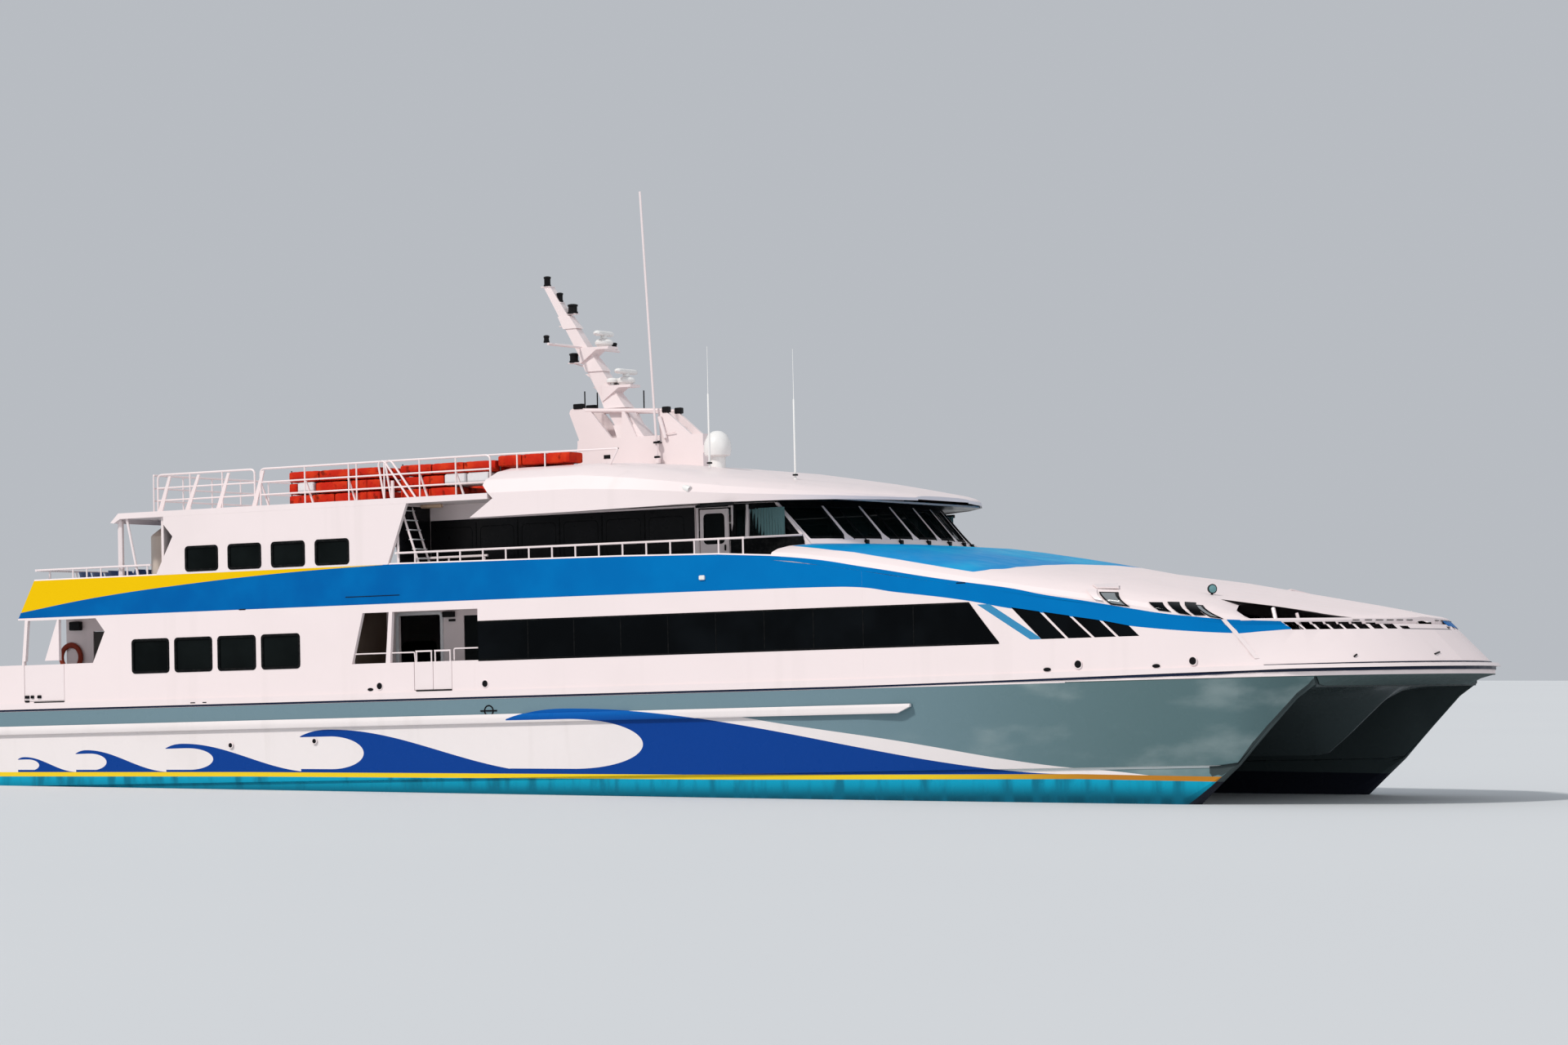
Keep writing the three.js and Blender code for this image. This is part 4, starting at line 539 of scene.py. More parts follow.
def tube(path, radius, sides=8):
    """A round bar along a path: circles square to it, in a frame that keeps to the path's own plane."""
    path = np.asarray(path, float)
    ahead = np.gradient(path, axis=0)
    ahead /= np.linalg.norm(ahead, axis=1, keepdims=True)
    normal = np.linalg.svd(path - path.mean(0))[2][2]
    side = normal - (ahead @ normal)[:, None] * ahead
    side /= np.linalg.norm(side, axis=1, keepdims=True)
    other = np.cross(ahead, side)
    angle = np.linspace(0, 2 * np.pi, sides, endpoint=False)
    across, up = np.cos(angle)[None, :, None], np.sin(angle)[None, :, None]
    circle = across * side[:, None] + up * other[:, None]
    return loft(path[:, None] + circle * radius)


def rod(a, b, radius, sides=8):
    """A straight round bar between two points."""
    return tube([a, b], radius, sides)


def rounded(points, radius):
    """A path whose corners are replaced by short curves that start a radius before each corner."""
    points = np.asarray(points, float)
    path = [points[0]]
    for before, corner, after in zip(points[:-2], points[1:-1], points[2:]):
        a = corner + (before - corner) / np.linalg.norm(before - corner) * radius
        b = corner + (after - corner) / np.linalg.norm(after - corner) * radius
        t = np.linspace(0, 1, 5)[:, None]
        path.extend((1 - t) ** 2 * a + 2 * t * (1 - t) * corner + t ** 2 * b)
    return np.array([*path, points[-1]])


def torus(x, y, z, radius, wide, deep, around, across):
    """A ring on a wall that faces the side: an oval section carried round a circle."""
    a = np.linspace(0, 2 * np.pi, around, endpoint=False)[:, None]
    b = np.linspace(0, 2 * np.pi, across, endpoint=False)[None, :]
    r = radius + wide * np.cos(b)
    return ring_loop(np.stack([x + r * np.cos(a), y - deep * np.sin(b) + 0 * a, z + r * np.sin(a)], -1))


def lathe(profile, centre=(0, 0, 0), segments=20, axis="z"):
    """A profile of radius and height turned about an upright or a level axis through a point."""
    profile = np.asarray(profile, float)
    angle = np.linspace(0, 2 * np.pi, segments, endpoint=False)
    r, h = profile[:, :1], profile[:, 1:]
    u, v, w = r * np.cos(angle), r * np.sin(angle), h + 0 * angle
    order = {"z": (u, v, w), "x": (w, u, v), "y": (u, w, v)}[axis]
    return loft(np.stack(order, -1) + np.asarray(centre, float))


def plate(outline, low, high):
    """An outline in X and height given a thickness across the ship."""
    outline = np.asarray(outline, float)
    return loft([np.stack([outline[:, 0], np.full(len(outline), y), outline[:, 1]], -1) for y in (low, high)])


def rounded_outline(x0, x1, z0, z1, radius):
    """A rectangle with round corners: a quarter circle at each, turned on from the one before."""
    quarter = np.linspace(0, np.pi / 2, 5)
    centres = [(x1 - radius, z1 - radius), (x0 + radius, z1 - radius), (x0 + radius, z0 + radius),
               (x1 - radius, z0 + radius)]
    angles = [quarter + k * np.pi / 2 for k in range(4)]
    return np.concatenate([np.stack([x + radius * np.cos(a), z + radius * np.sin(a)], -1)
                           for (x, z), a in zip(centres, angles)])


def grown(outline, by):
    """An outline moved outwards: each point shifted along the mean of its two sides' normals."""
    outline = np.asarray(outline, float)
    along = np.roll(outline, -1, 0) - np.roll(outline, 1, 0)
    normal = np.stack([along[:, 1], -along[:, 0]], -1)
    normal /= np.linalg.norm(normal, axis=1, keepdims=True)
    area = np.sum(outline[:, 0] * np.roll(outline[:, 1], -1) - np.roll(outline[:, 0], -1) * outline[:, 1])
    return outline + normal * by * np.sign(area)


def frame_round(outline, width, proud, behind, lap=0.0, wall=BEAM):
    """A flat frame round an opening in a side wall: outer and inner outline, front and back."""
    y_out, y_in = -wall - proud, -wall + behind
    inner, outer = grown(outline, -lap), grown(outline, width)
    rings = []
    for ring, y in ((outer, y_in), (outer, y_out + 0.004), (grown(outline, width * 0.7), y_out),
                    (grown(outline, -lap + 0.006), y_out), (inner, y_out + 0.006), (inner, y_in)):
        rings.append(np.stack([ring[:, 0], np.full(len(ring), y), ring[:, 1]], -1))
    return ring_loop(rings)


# Points closer than this are one, and faces that fold by more than this meet in a sharp edge
WELD, SHARP_ANGLE = 2e-6, 38.0


def build(name, material, *shells, body=SHIP, slot=None, stands_for=()):
    """Makes a finished piece of closed shells, welds it, turns its faces out and lets it ride on a body."""
    points, faces = join(*shells)
    mesh = bpy.data.meshes.new(name)
    mesh.from_pydata((points * HALF).tolist(), [], [row for f in faces for row in f.tolist()])
    weld = bmesh.new()
    weld.from_mesh(mesh)
    bmesh.ops.remove_doubles(weld, verts=weld.verts, dist=WELD)
    bmesh.ops.dissolve_degenerate(weld, edges=weld.edges, dist=1e-7)
    bmesh.ops.recalc_face_normals(weld, faces=weld.faces)
    weld.to_mesh(mesh)
    weld.free()
    finish_piece(name, mesh, material, body, stands_for, SHARP_ANGLE)


def pair(name, material, *shells, **how):
    """The same on both sides of the ship, as one piece."""
    build(name, material, both_sides(*shells), **how)


def smoothed(node, material, angle):
    """A welded copy of a CAD node, shaded smooth across its gentle folds, in the node's place."""
    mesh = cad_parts[node].data.copy()
    for layer in list(mesh.attributes):
        if layer.name == "custom_normal":
            mesh.attributes.remove(layer)
    weld = bmesh.new()
    weld.from_mesh(mesh)
    bmesh.ops.remove_doubles(weld, verts=weld.verts, dist=WELD)
    weld.to_mesh(mesh)
    weld.free()
    finish_piece(f"{node}_skin", mesh, material, SHIP, (node,), angle)


def finish_piece(name, mesh, material, body, stands_for, angle):
    """Paints a mesh, keeps the edges sharp that fold by more than an angle, and lets it ride on a body."""
    mesh.materials.clear()
    mesh.materials.append(material)
    mesh.shade_smooth()
    mesh.set_sharp_from_angle(angle=math.radians(angle))
    piece = bpy.data.objects.new(name, mesh)
    bpy.context.scene.collection.objects.link(piece)
    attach(piece, body)
    if stands_for:
        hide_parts(*stands_for)


# The hull's own surfaces

def smooth_step(t):
    """3 t^2 - 2 t^3 of a share held between 0 and 1."""
    t = np.clip(t, 0, 1)
    return t * t * (3 - 2 * t)


def half_breadth(x):
    """Straight sides, then beam * sqrt(1 - t^5) round the bow."""
    t = np.clip((np.asarray(x, float) - BOW_START_X) / (BOW_X - BOW_START_X), 0, 1)
    return BEAM * np.sqrt(1 - t ** 5)


def outline_normal(x):
    """Outward normal of the plan outline on the starboard side, from its slope over 4 mm."""
    centre = np.minimum(np.asarray(x, float), BOW_X - 0.002)
    slope = (half_breadth(centre + 0.002) - half_breadth(centre - 0.002)) / 0.004
    length = np.hypot(slope, 1.0)
    return -slope / length, -1.0 / length


def skin(station, z, out=0.0):
    """A point on the shell from the station it rises from: round the bow the face leans in above the deck."""
    station, z, out = np.broadcast_arrays(*[np.asarray(v, float) for v in (station, z, out)])
    lean = BOW_LEAN * smooth_step((station - LEAN_START_X) / LEAN_RUN)
    inward = lean * np.maximum(0.0, z - DECK_Z) / (EDGE_Z - DECK_Z) - out
    nx, ny = outline_normal(station)
    return np.stack([station - nx * inward, np.minimum(0.0, -half_breadth(station) - ny * inward), z], -1)


def station_of(x, z):
    """The station whose shell passes X at a height, by fixed-point steps."""
    x = np.asarray(x, float)
    station = x
    for _ in range(5):
        station = np.clip(station + x - skin(station, z)[..., 0], -25.0, BOW_X - 0.003)
    return station


def whole_stations(aft_x=STERN_X):
    """Stations from the stern to the stem, closer together where the outline turns."""
    bow = BOW_START_X + (BOW_X - BOW_START_X) * np.sin(np.linspace(0.02, np.pi / 2, 30)) ** 0.4
    whole = np.concatenate([np.linspace(STERN_X, BOW_START_X, 18), bow])
    return np.concatenate([[aft_x], whole[whole > aft_x + 0.01]])


def moulding(low, high, proud, aft_x=STERN_X):
    """A flat moulding round the ship from side to side. low, high and proud are tables over the station."""
    stations = whole_stations(aft_x)
    z0, z1, push = (np.interp(stations, *zip(*table)) for table in (low, high, proud))
    rings = np.stack([skin(stations, z0, -0.03), skin(stations, z0, push),
                      skin(stations, z1, push), skin(stations, z1, -0.03)], 1)
    return loft(np.concatenate([rings, rings[:-1][::-1] * (1, -1, 1)]))


# Shoulder of the turtle-back. Columns: X, height of the shoulder, height of the crown
SHOULDER = [(6.1, 5.70, 6.08), (6.72, 5.64, 6.06), (8.15, 5.42, 5.98), (9.4, 5.22, 5.77),
            (10.4, 5.04, 5.59), (12.3, 4.74, 5.20), (13.9, 4.48, 4.98), (15.6, 4.22, 4.65),
            (17.3, 3.90, 4.33), (18.3, 3.75, 4.15), (19.1, 3.75, 4.00), (20.3, 3.75, 3.84),
            (21.0, 3.75, 3.77)]
SHOULDER_X, SHOULDER_EDGE, SHOULDER_CROWN = (np.array(column) for column in zip(*SHOULDER))


def turtle_back(x, z):
    """The station under X, and the heights of the shoulder and of the crown there."""
    station = station_of(x, z)
    return station, np.interp(station, SHOULDER_X, SHOULDER_EDGE), np.interp(x, SHOULDER_X, SHOULDER_CROWN)


def foredeck_z(x, y):
    """Height of the turtle-back: shoulder plus rise * sqrt(1 - (y / half-breadth)^4)."""
    station, low, high = turtle_back(x, np.interp(x, SHOULDER_X, SHOULDER_EDGE))
    share = np.clip(np.abs(y) / np.maximum(-skin(station, low)[..., 1], 0.3), 0, 1)
    return low + np.maximum(0.02, high - low) * np.sqrt(1 - share ** 4)


def skin_y(x, z):
    """Half-breadth of the shell at a height: the side below the shoulder, the turtle-back above it."""
    station, low, high = turtle_back(x, np.minimum(z, np.interp(x, SHOULDER_X, SHOULDER_EDGE)))
    lift = np.clip((z - low) / np.maximum(high - low, 0.02), 0, 1)
    return -skin(station, np.minimum(z, low))[..., 1] * (1 - lift ** 2) ** 0.25


def skin_patch(corners, low, high):
    """A pane on the shell: four corners in X and height, filled evenly, low and high above the skin."""
    a, b, c, d = [np.array(p, float) for p in corners]
    u = np.linspace(0, 1, 7)[:, None, None]
    v = np.linspace(0, 1, 5)[None, :, None]
    flat = (1 - v) * ((1 - u) * a + u * b) + v * ((1 - u) * d + u * c)
    x, z = flat[..., 0], flat[..., 1]
    y = skin_y(x, z)
    layers = [np.stack([x, -y - out, z + 0.4 * out], -1) for out in (high, low)]
    return thick(*layers)


# Finishes, and the CAD nodes that wear them

stage_camera()
stage_light()

WHITE_PAINT = plain_paint("white enamel", WHITE)
LIVERY, HULL, DECKS = livery(), hull_paint(), deck_paint()
GLASS = glazing("tinted glass", (0.0015, 0.002, 0.0025))
CABIN_GLASS = glazing("cabin glass", (0.0025, 0.0035, 0.0035))
HELM_GLASS = glazing("wheelhouse glass", (0.002, 0.004, 0.004), clear=0.30)
# Black glazing rubber with a dusty face
RUBBER = two_tone("glazing rubber", (0.003, 0.0035, 0.004), (0.010, 0.010, 0.010), (12.0, 0.4, 0.7), 30.0,
                  (0.45, 0.7), Metallic=0.0, Specular_IOR_Level=0.06)
# Mill-finish aluminium, brushed along its length, dulled by salt
ALLOY = two_tone("bare alloy", (0.56, 0.57, 0.58), (0.40, 0.41, 0.42), (6.0, 0.4, 0.7), 40.0, (0.28, 0.46),
                 (0.2, 1.0, 1.0), Metallic=0.9)
# Polished propeller bronze, darker and greener in its hollows
BRONZE = two_tone("propeller bronze", (0.62, 0.40, 0.17), (0.22, 0.24, 0.16), (7.0, 0.45, 0.75), 14.0,
                  (0.25, 0.5), Metallic=1.0)
FLOAT_SKIN, BLIND = float_skin(), window_blind()
BLACK = plain_paint("black enamel", (0.005, 0.005, 0.006), 0.32, 0.02, 0.0, coat=0.0, gloss=0.10)
# Navy enamel; along the deck-edge flange it also stands in as painted shadow
NAVY_AND_SHADOW = plain_paint("navy enamel and painted shadow", (0.006, 0.012, 0.035), 0.35, 0.04, 0.0, coat=0.0, gloss=0.10)
CREAM = plain_paint("cream enamel", (0.66, 0.56, 0.48), 0.5)
LOCKER_WHITE = plain_paint("locker white", (0.72, 0.73, 0.74), 0.3)
SEAT_BLUE = plain_paint("seat plastic", (0.015, 0.05, 0.17), 0.42, 0.05, 0.0)
CONSOLE = plain_paint("console grey", (0.05, 0.055, 0.06), 0.5, 0.05, 0.0)
ORANGE = plain_paint("lifebuoy orange", (0.24, 0.03, 0.012), 0.45, 0.08, 0.0, coat=0.0, gloss=0.15)
DOME_WHITE = plain_paint("glass-fibre white", (0.80, 0.79, 0.77), 0.28, 0.05)
# Near-black brown for parts standing in shade: painted shade
SHADE = plain_paint("painted shade", (0.07, 0.065, 0.06), 0.7, coat=0.0, gloss=0.15)
LAMP_GLASS = plain_paint("lamp glass", (0.10, 0.26, 0.27), 0.15, 0.04, 0.0)
SMOKED = plain_paint("smoked glass", (0.17, 0.19, 0.20), 0.25, 0.04, 0.0)

# How the names of CAD nodes start, and their finish; every other node is white
FINISHES = [
    (("hull_", "bridge_deck", "rudder_"), HULL),
    (("main_deck", "upper_deck"), DECKS),
    (("side_aft", "side_mid", "side_bow", "upper_bulwark", "foredeck"), LIVERY),
    (("main_windows", "cabin_windows"), GLASS),
    ("propeller", BRONZE),
    ("life_floats", FLOAT_SKIN),
    ("aft_deck_seats", SEAT_BLUE),
    ("helm_console", CONSOLE),
]
for node_name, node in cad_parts.items():
    worn = [paint for start, paint in FINISHES if node_name.startswith(start)]
    node.data.materials.clear()
    node.data.materials.append(worn[0] if worn else WHITE_PAINT)

for side in ("starboard", "port"):
    smoothed(f"hull_{side}", HULL, 22)
    smoothed(f"side_bow_{side}", LIVERY, 24)
smoothed("bridge_deck", HULL, 26)
smoothed("foredeck", LIVERY, 24)
smoothed("roof_cowl", cowl_paint(), 26)
smoothed("satellite_dome", DOME_WHITE, 50)


# Edges and marks of the hull

# Tables over the station: the dark line under the deck's edge, navy paint at the bow and only a painted
# shadow aft; the white flange on it; the thin painted shadow line above the flange
LINE_LOW = [(-22.0, 2.45), (8.0, 2.45), (11.0, 2.48), (17.6, 2.53), (18.5, 2.56), (21.5, 2.56)]
FLANGE_LOW = [(-22.0, 2.50), (8.0, 2.50), (11.0, 2.52), (17.6, 2.60), (18.5, 2.61), (19.3, 2.63),
              (21.5, 2.64)]
FLANGE_HIGH = [(-22.0, 2.67), (8.0, 2.67), (17.6, 2.72), (21.5, 2.72)]
FLANGE_PROUD = [(-22.0, 0.022), (16.0, 0.022), (19.0, 0.06), (20.8, 0.12), (21.5, 0.17)]
FLANGE_SHADOW_LOW, FLANGE_SHADOW_HIGH = [(18.8, 2.72), (21.5, 2.735)], [(18.8, 2.735), (21.5, 2.765)]
build("edge_flange", WHITE_PAINT, moulding(FLANGE_LOW, FLANGE_HIGH, FLANGE_PROUD), slot="white_paint")
# The dark line under the flange: navy paint at the bow, a painted shadow aft
build("edge_dark_line", NAVY_AND_SHADOW, moulding(LINE_LOW, FLANGE_LOW, [(-22.0, 0.010), (21.5, 0.012)]),
      slot="band_paint")
# A thin dark line where the flange meets the face above it: painted shadow
build("flange_shadow_line", NAVY_AND_SHADOW, moulding(FLANGE_SHADOW_LOW, FLANGE_SHADOW_HIGH, [(18.8, 0.006), (21.5, 0.008)], 18.8))
pair("bow_edge_rail", WHITE_PAINT, tube(skin(whole_stations(18.3), 3.765, -0.02), 0.014), slot="white_paint")
# Slits in the bow's edge, drawn as black bars: painted shade in the gaps. Columns: aft station, length
SLITS = [(20.84, 0.10), (21.02, 0.09), (21.16, 0.08), (21.28, 0.06), (21.37, 0.045), (21.44, 0.03)]
pair("bow_edge_slits", BLACK,
     *[tube(skin(np.linspace(aft, aft + long, 4), 3.742, 0.006), 0.010, 6) for aft, long in SLITS])


def hole_rim(x, z, radius, wide=0.03, proud=0.02):
    """A raised ring round a hole in the side."""
    return torus(x, -float(half_breadth(x)), z, radius, wide * 0.5, proud, 18, 6)


def hole_disc(x, z, radius, flat=1.0):
    """A thin dark disc or oval on the side."""
    profile = [(0, -0.006), (radius, -0.006), (radius * 0.96, 0.006), (0, 0.006)]
    points, faces = lathe(profile, segments=18, axis="y")
    return points * (1, -1, flat) + (x, -float(half_breadth(x)) - 0.006, z), faces


# Openings along the side. Columns: X, height, radius
ROUND_HOLES = [(14.36, 2.86, 0.10), (17.23, 2.86, 0.10), (-5.56, 2.84, 0.095), (-2.31, 2.82, 0.095),
               (-10.35, 1.42, 0.07), (-7.65, 1.48, 0.07)]
OVALS = [(13.55, 2.76, 0.10), (16.34, 2.77, 0.10), (-5.85, 2.76, 0.09)]
pair("fairlead_rims", WHITE_PAINT, *[hole_rim(*row) for row in ROUND_HOLES], slot="white_paint")
# Black discs and ovals in the openings: painted shade inside the holes
pair("fairlead_mouths", BLACK, *[hole_disc(x, z, r * 0.9) for x, z, r in ROUND_HOLES],
     *[hole_disc(x, z, r, 0.45) for x, z, r in OVALS])
# Drains and marks. Columns: aft X, fore X, low, high
SCUPPERS = [(-17.21, -17.07, 2.785, 2.865), (-17.01, -16.91, 2.785, 2.865), (-16.78, -16.66, 2.785, 2.865),
            (-17.21, -17.07, 2.685, 2.735), (-11.63, -11.47, 2.535, 2.565), (-11.23, -11.10, 2.535, 2.565)]
MARKS = [(-10.0, -9.79, 4.915, 4.945), (11.20, 11.44, 4.845, 4.870), (-6.58, -4.89, 5.125, 5.143)]
# Black slabs for the drain openings: painted shade inside them
pair("scuppers", BLACK, *[on_wall(*row, 0.028, edge=0.006) for row in SCUPPERS])
pair("side_marks", BLACK, *[on_wall(*row, 0.010, edge=0.002) for row in MARKS])
pair("side_lamps", DOME_WHITE, on_wall(4.08, 4.24, 5.18, 5.30, 0.05, 0.01, 0.02))
BOW_MARKS = [(20.50, 20.56, 2.88, 2.93), (21.425, 21.46, 2.92, 2.97)]
build("bow_marks", BLACK, *[tube(skin(np.linspace(aft, fore, 3), np.linspace(low, high, 3), 0.006), 0.022, 6)
                            for aft, fore, low, high in BOW_MARKS])
pair("load_line_mark", BLACK, moved(hole_rim(-2.22, 2.14, 0.13, 0.045, 0.014), (0, 0.008, 0)),
     on_wall(-2.47, -1.97, 2.122, 2.158, 0.012, 0.015, 0.004))


# Side glazing

AFT_WINDOWS = [rounded_outline(x, x + 1.24, 3.36, 4.26, 0.10) for x in -13.56 + 1.42 * np.arange(4)]
HOUSE_WINDOWS = [rounded_outline(x, x + 1.08, 5.98, 6.64, 0.10) for x in -11.74 + 1.405 * np.arange(4)]
GLASS_FACES = (-6.075, -6.062)
for name, outlines in (("aft", AFT_WINDOWS), ("house", HOUSE_WINDOWS)):
    panes = [plate(grown(outline, 0.012), *GLASS_FACES) for outline in outlines]
    pair(f"{name}_window_glass", CABIN_GLASS, *panes, slot="tinted_glazing")
pair("aft_window_rims", RUBBER,
     *[frame_round(outline, 0.006, 0.012, 0.03, 0.06) for outline in AFT_WINDOWS + HOUSE_WINDOWS])
pair("main_window_joints", RUBBER,
     *[on_wall(x - 0.013, x + 0.013, 3.44, 4.35, 0.006, 0.01) for x in -0.99 + 1.376 * np.arange(9)])
BAND_OUTLINE = [(-2.50, 3.42), (12.30, 3.42), (11.52, 4.37), (-2.50, 4.37)]
pair("main_window_rim", RUBBER, frame_round(BAND_OUTLINE, 0.03, 0.008, 0.02, 0.012))
CABIN_Y = 4.60
CABIN_BAYS = -4.80 + 1.275 * np.arange(6)
CABIN_PANES = [rounded_outline(x + 0.14, x + 1.14, 5.98, 6.84, 0.10) for x in CABIN_BAYS]
pair("cabin_window_joints", RUBBER,
     *[on_wall(x - 0.016, x + 0.016, 5.74, 6.97, 0.014, 0.0, wall=CABIN_Y) for x in CABIN_BAYS[1:]],
     *[frame_round(outline, 0.02, 0.013, 0.0, wall=CABIN_Y) for outline in CABIN_PANES])
pair("cabin_black_band", BLACK, on_wall(-4.94, 3.04, 5.12, 7.05, 0.008, 0.0005, 0.002, CABIN_Y),
     slab(-4.955, -4.945, -5.98, -4.61, 5.12, 7.40, 0.002))

# Slanted windows forward of the band. Columns: X and height of the top corners, X of the low ones, aft first
FORE_WINDOWS = [(12.63, 4.24, 13.37, 4.12, 13.41, 14.05), (13.46, 4.11, 14.14, 4.00, 14.12, 14.73),
                (14.23, 3.98, 14.92, 3.87, 14.80, 15.35), (15.00, 3.86, 15.68, 3.72, 15.42, 15.94)]
FORE_SILL_Z, FORE_LAP = 3.45, 0.02
fore_panes = [[(ax - FORE_LAP, az + FORE_LAP), (fx + FORE_LAP, fz + FORE_LAP),
               (low_fore + FORE_LAP, FORE_SILL_Z), (low_aft - FORE_LAP, FORE_SILL_Z)]
              for ax, az, fx, fz, low_aft, low_fore in FORE_WINDOWS]
pair("fore_window_glass", GLASS, *[skin_patch(corners, -0.05, -0.02) for corners in fore_panes],
     slot="tinted_glazing")
# Small panes above the band, corners in X and height; the last one is smoked glass in a dark rim
SMALL_PANES = [[(16.14, 4.24), (16.43, 4.23), (16.75, 3.99), (16.44, 4.04)],
               [(16.51, 4.24), (16.74, 4.23), (17.22, 3.91), (16.93, 3.96)],
               [(16.83, 4.23), (17.05, 4.21), (17.54, 3.90), (17.30, 3.91)]]
LAST_RIM = [(17.10, 4.16), (17.28, 4.14), (17.91, 3.81), (17.64, 3.86)]
LAST_PANE = [(17.19, 4.13), (17.27, 4.12), (17.80, 3.84), (17.66, 3.87)]
CORNER_PATCH = [(20.06, 3.745), (20.36, 3.745), (20.46, 3.62), (20.16, 3.56)]
SECOND_LINE = [(17.87, 3.79), (17.97, 3.78), (18.68, 2.88), (18.58, 2.88)]
pair("small_pane_glass", GLASS, *[skin_patch(corners, -0.02, 0.016) for corners in SMALL_PANES],
     skin_patch(LAST_RIM, -0.02, 0.010), slot="tinted_glazing")
pair("last_pane", SMOKED, skin_patch(LAST_PANE, -0.02, 0.018))
build("bow_corner_patch", plain_paint("band blue", BLUE, coat=0.0, gloss=0.05),
      mirrored(skin_patch(CORNER_PATCH, -0.01, 0.008)), slot="band_paint")
pair("second_band_line", WHITE_PAINT, skin_patch(SECOND_LINE, -0.02, 0.008))


# Foredeck fittings

HOOD_TOP = np.array([(14.42, -5.37, 4.70), (14.82, -4.84, 4.72), (15.09, -5.35, 4.60), (14.65, -5.61, 4.62)])
HOOD_FACE = [(14.50, 4.60), (14.72, 4.58), (15.05, 4.30), (14.85, 4.34)]
HOOD_RIM = [(14.83, 4.52), (15.24, 4.50), (15.72, 4.15), (15.25, 4.21)]
HOOD_PANE = [(14.91, 4.49), (15.21, 4.475), (15.62, 4.18), (15.28, 4.23)]
pair("foredeck_hood", WHITE_PAINT, loft([HOOD_TOP, HOOD_TOP + (0, 0, 0.035)]),
     skin_patch(HOOD_FACE, -0.04, 0.05), slot="white_paint")
pair("foredeck_hood_rim", BLACK, skin_patch(HOOD_RIM, -0.03, 0.030))
pair("foredeck_hood_pane", SMOKED, skin_patch(HOOD_PANE, -0.02, 0.040))
LAMP_BODY = [(0, -0.125), (0.055, -0.115), (0.103, -0.03), (0.117, 0.045), (0.103, 0.05), (0, 0.04)]
LAMP_PANE = [(0, 0.036), (0.094, 0.036), (0.09, 0.06), (0, 0.068)]
lamp_at = np.array([16.59, -3.50, float(foredeck_z(16.59, 3.50)) + 0.13])
lamp_body, lamp_pane = (moved(turned(lathe(p, axis="x"), -42), lamp_at) for p in (LAMP_BODY, LAMP_PANE))
build("foredeck_lamp", BLACK, rod(lamp_at - (0, 0, 0.20), lamp_at - (0, 0, 0.08), 0.03), lamp_body)
build("foredeck_lamp_glass", LAMP_GLASS, lamp_pane)


def bollard(x, y, z):
    """Twin round posts with wide caps on a base plate."""
    profile = [(0, 0), (0.10, 0), (0.09, 0.30), (0.125, 0.33), (0.125, 0.37), (0.08, 0.40), (0, 0.40)]
    posts = moved(lathe(profile, segments=16), (-0.19, 0, 0.02), (0.19, 0, 0.02))
    return moved(join(slab(-0.33, 0.33, -0.18, 0.18, 0.0, 0.03), posts), (x, y, z))


pair("bollards", BLACK, bollard(16.9, -4.2, 2.69), bollard(-20.8, -5.2, 2.69))


def windlass(x=18.3, z=3.15):
    """Two ribbed drums on a level shaft between end frames, on a bed plate."""
    drum = lathe([(0, -0.30), (0.26, -0.30), (0.26, -0.24), (0.15, -0.22), (0.15, 0.22), (0.26, 0.24),
                  (0.26, 0.30), (0, 0.30)], axis="y")
    frames = [slab(x - 0.25, x + 0.25, y - 0.04, y + 0.04, 2.66, 3.36, 0.03)
              for y in (-1.3, -0.45, 0.45, 1.3)]
    shaft = rod((x, -1.5, z), (x, 1.5, z), 0.06, 12)
    bed = slab(x - 0.4, x + 0.4, -1.5, 1.5, 2.651, 2.70)
    return join(moved(drum, (x, -0.88, z), (x, 0.88, z)), *frames, shaft, bed)


build("windlass", plain_paint("gear green", (0.03, 0.11, 0.09), rough=0.45), windlass())
pair("bow_inner_posts", WHITE_PAINT, rod((18.38, -4.00, 4.05), (18.93, -4.55, 2.66), 0.05),
     rod((19.30, -3.95, 2.66), (18.95, -3.95, 3.92), 0.04))


# Boarding recess and stern openings

BAR_Y = -6.05
RECESS_BARS = [[(-6.40, BAR_Y, 3.67), (-4.49, BAR_Y, 3.67), (-4.47, BAR_Y, 3.42)],
               [(-3.27, BAR_Y, 3.44), (-3.27, BAR_Y, 3.73), (-2.51, BAR_Y, 3.73)]]
LOBBY_Y = 4.545
DOORWAY = rounded_outline(-6.04, -4.73, 2.72, 4.65, 0.06)
# Thresholds under the gates. Columns: aft X, fore X, height
GATE_LINES = [(-4.42, -3.32, 2.72), (-16.90, -15.86, 2.70)]
# A dark brown sheet on the recess's end wall for the unlit lobby behind: painted shade
pair("recess_end_shade_panels", plain_paint("lobby painted shade", (0.05, 0.032, 0.022), rough=0.7, coat=0.0, gloss=0.10),
     slab(-6.422, -6.408, -5.96, -4.57, 2.68, 4.88, 0.003))
pair("recess_bars", WHITE_PAINT, *[tube(rounded(path, 0.04), 0.018) for path in RECESS_BARS])
pair("lobby_door_frame", LOCKER_WHITE, frame_round(DOORWAY, 0.09, 0.035, 0.0, wall=LOBBY_Y))
pair("lobby_panel_box", BLACK, slab(-4.60, -4.27, -4.66, -4.53, 4.57, 4.72),
     slab(-4.46, -4.26, -4.58, -4.53, 4.46, 4.52, 0.004))
pair("lobby_window_pane", CABIN_GLASS, slab(-4.04, -2.58, -4.53, -4.50, 3.32, 4.64, 0.004))
pair("gate_thresholds", BLACK,
     *[on_wall(aft, fore, z - 0.045, z - 0.005, 0.026, 0.04, 0.01) for aft, fore, z in GATE_LINES])
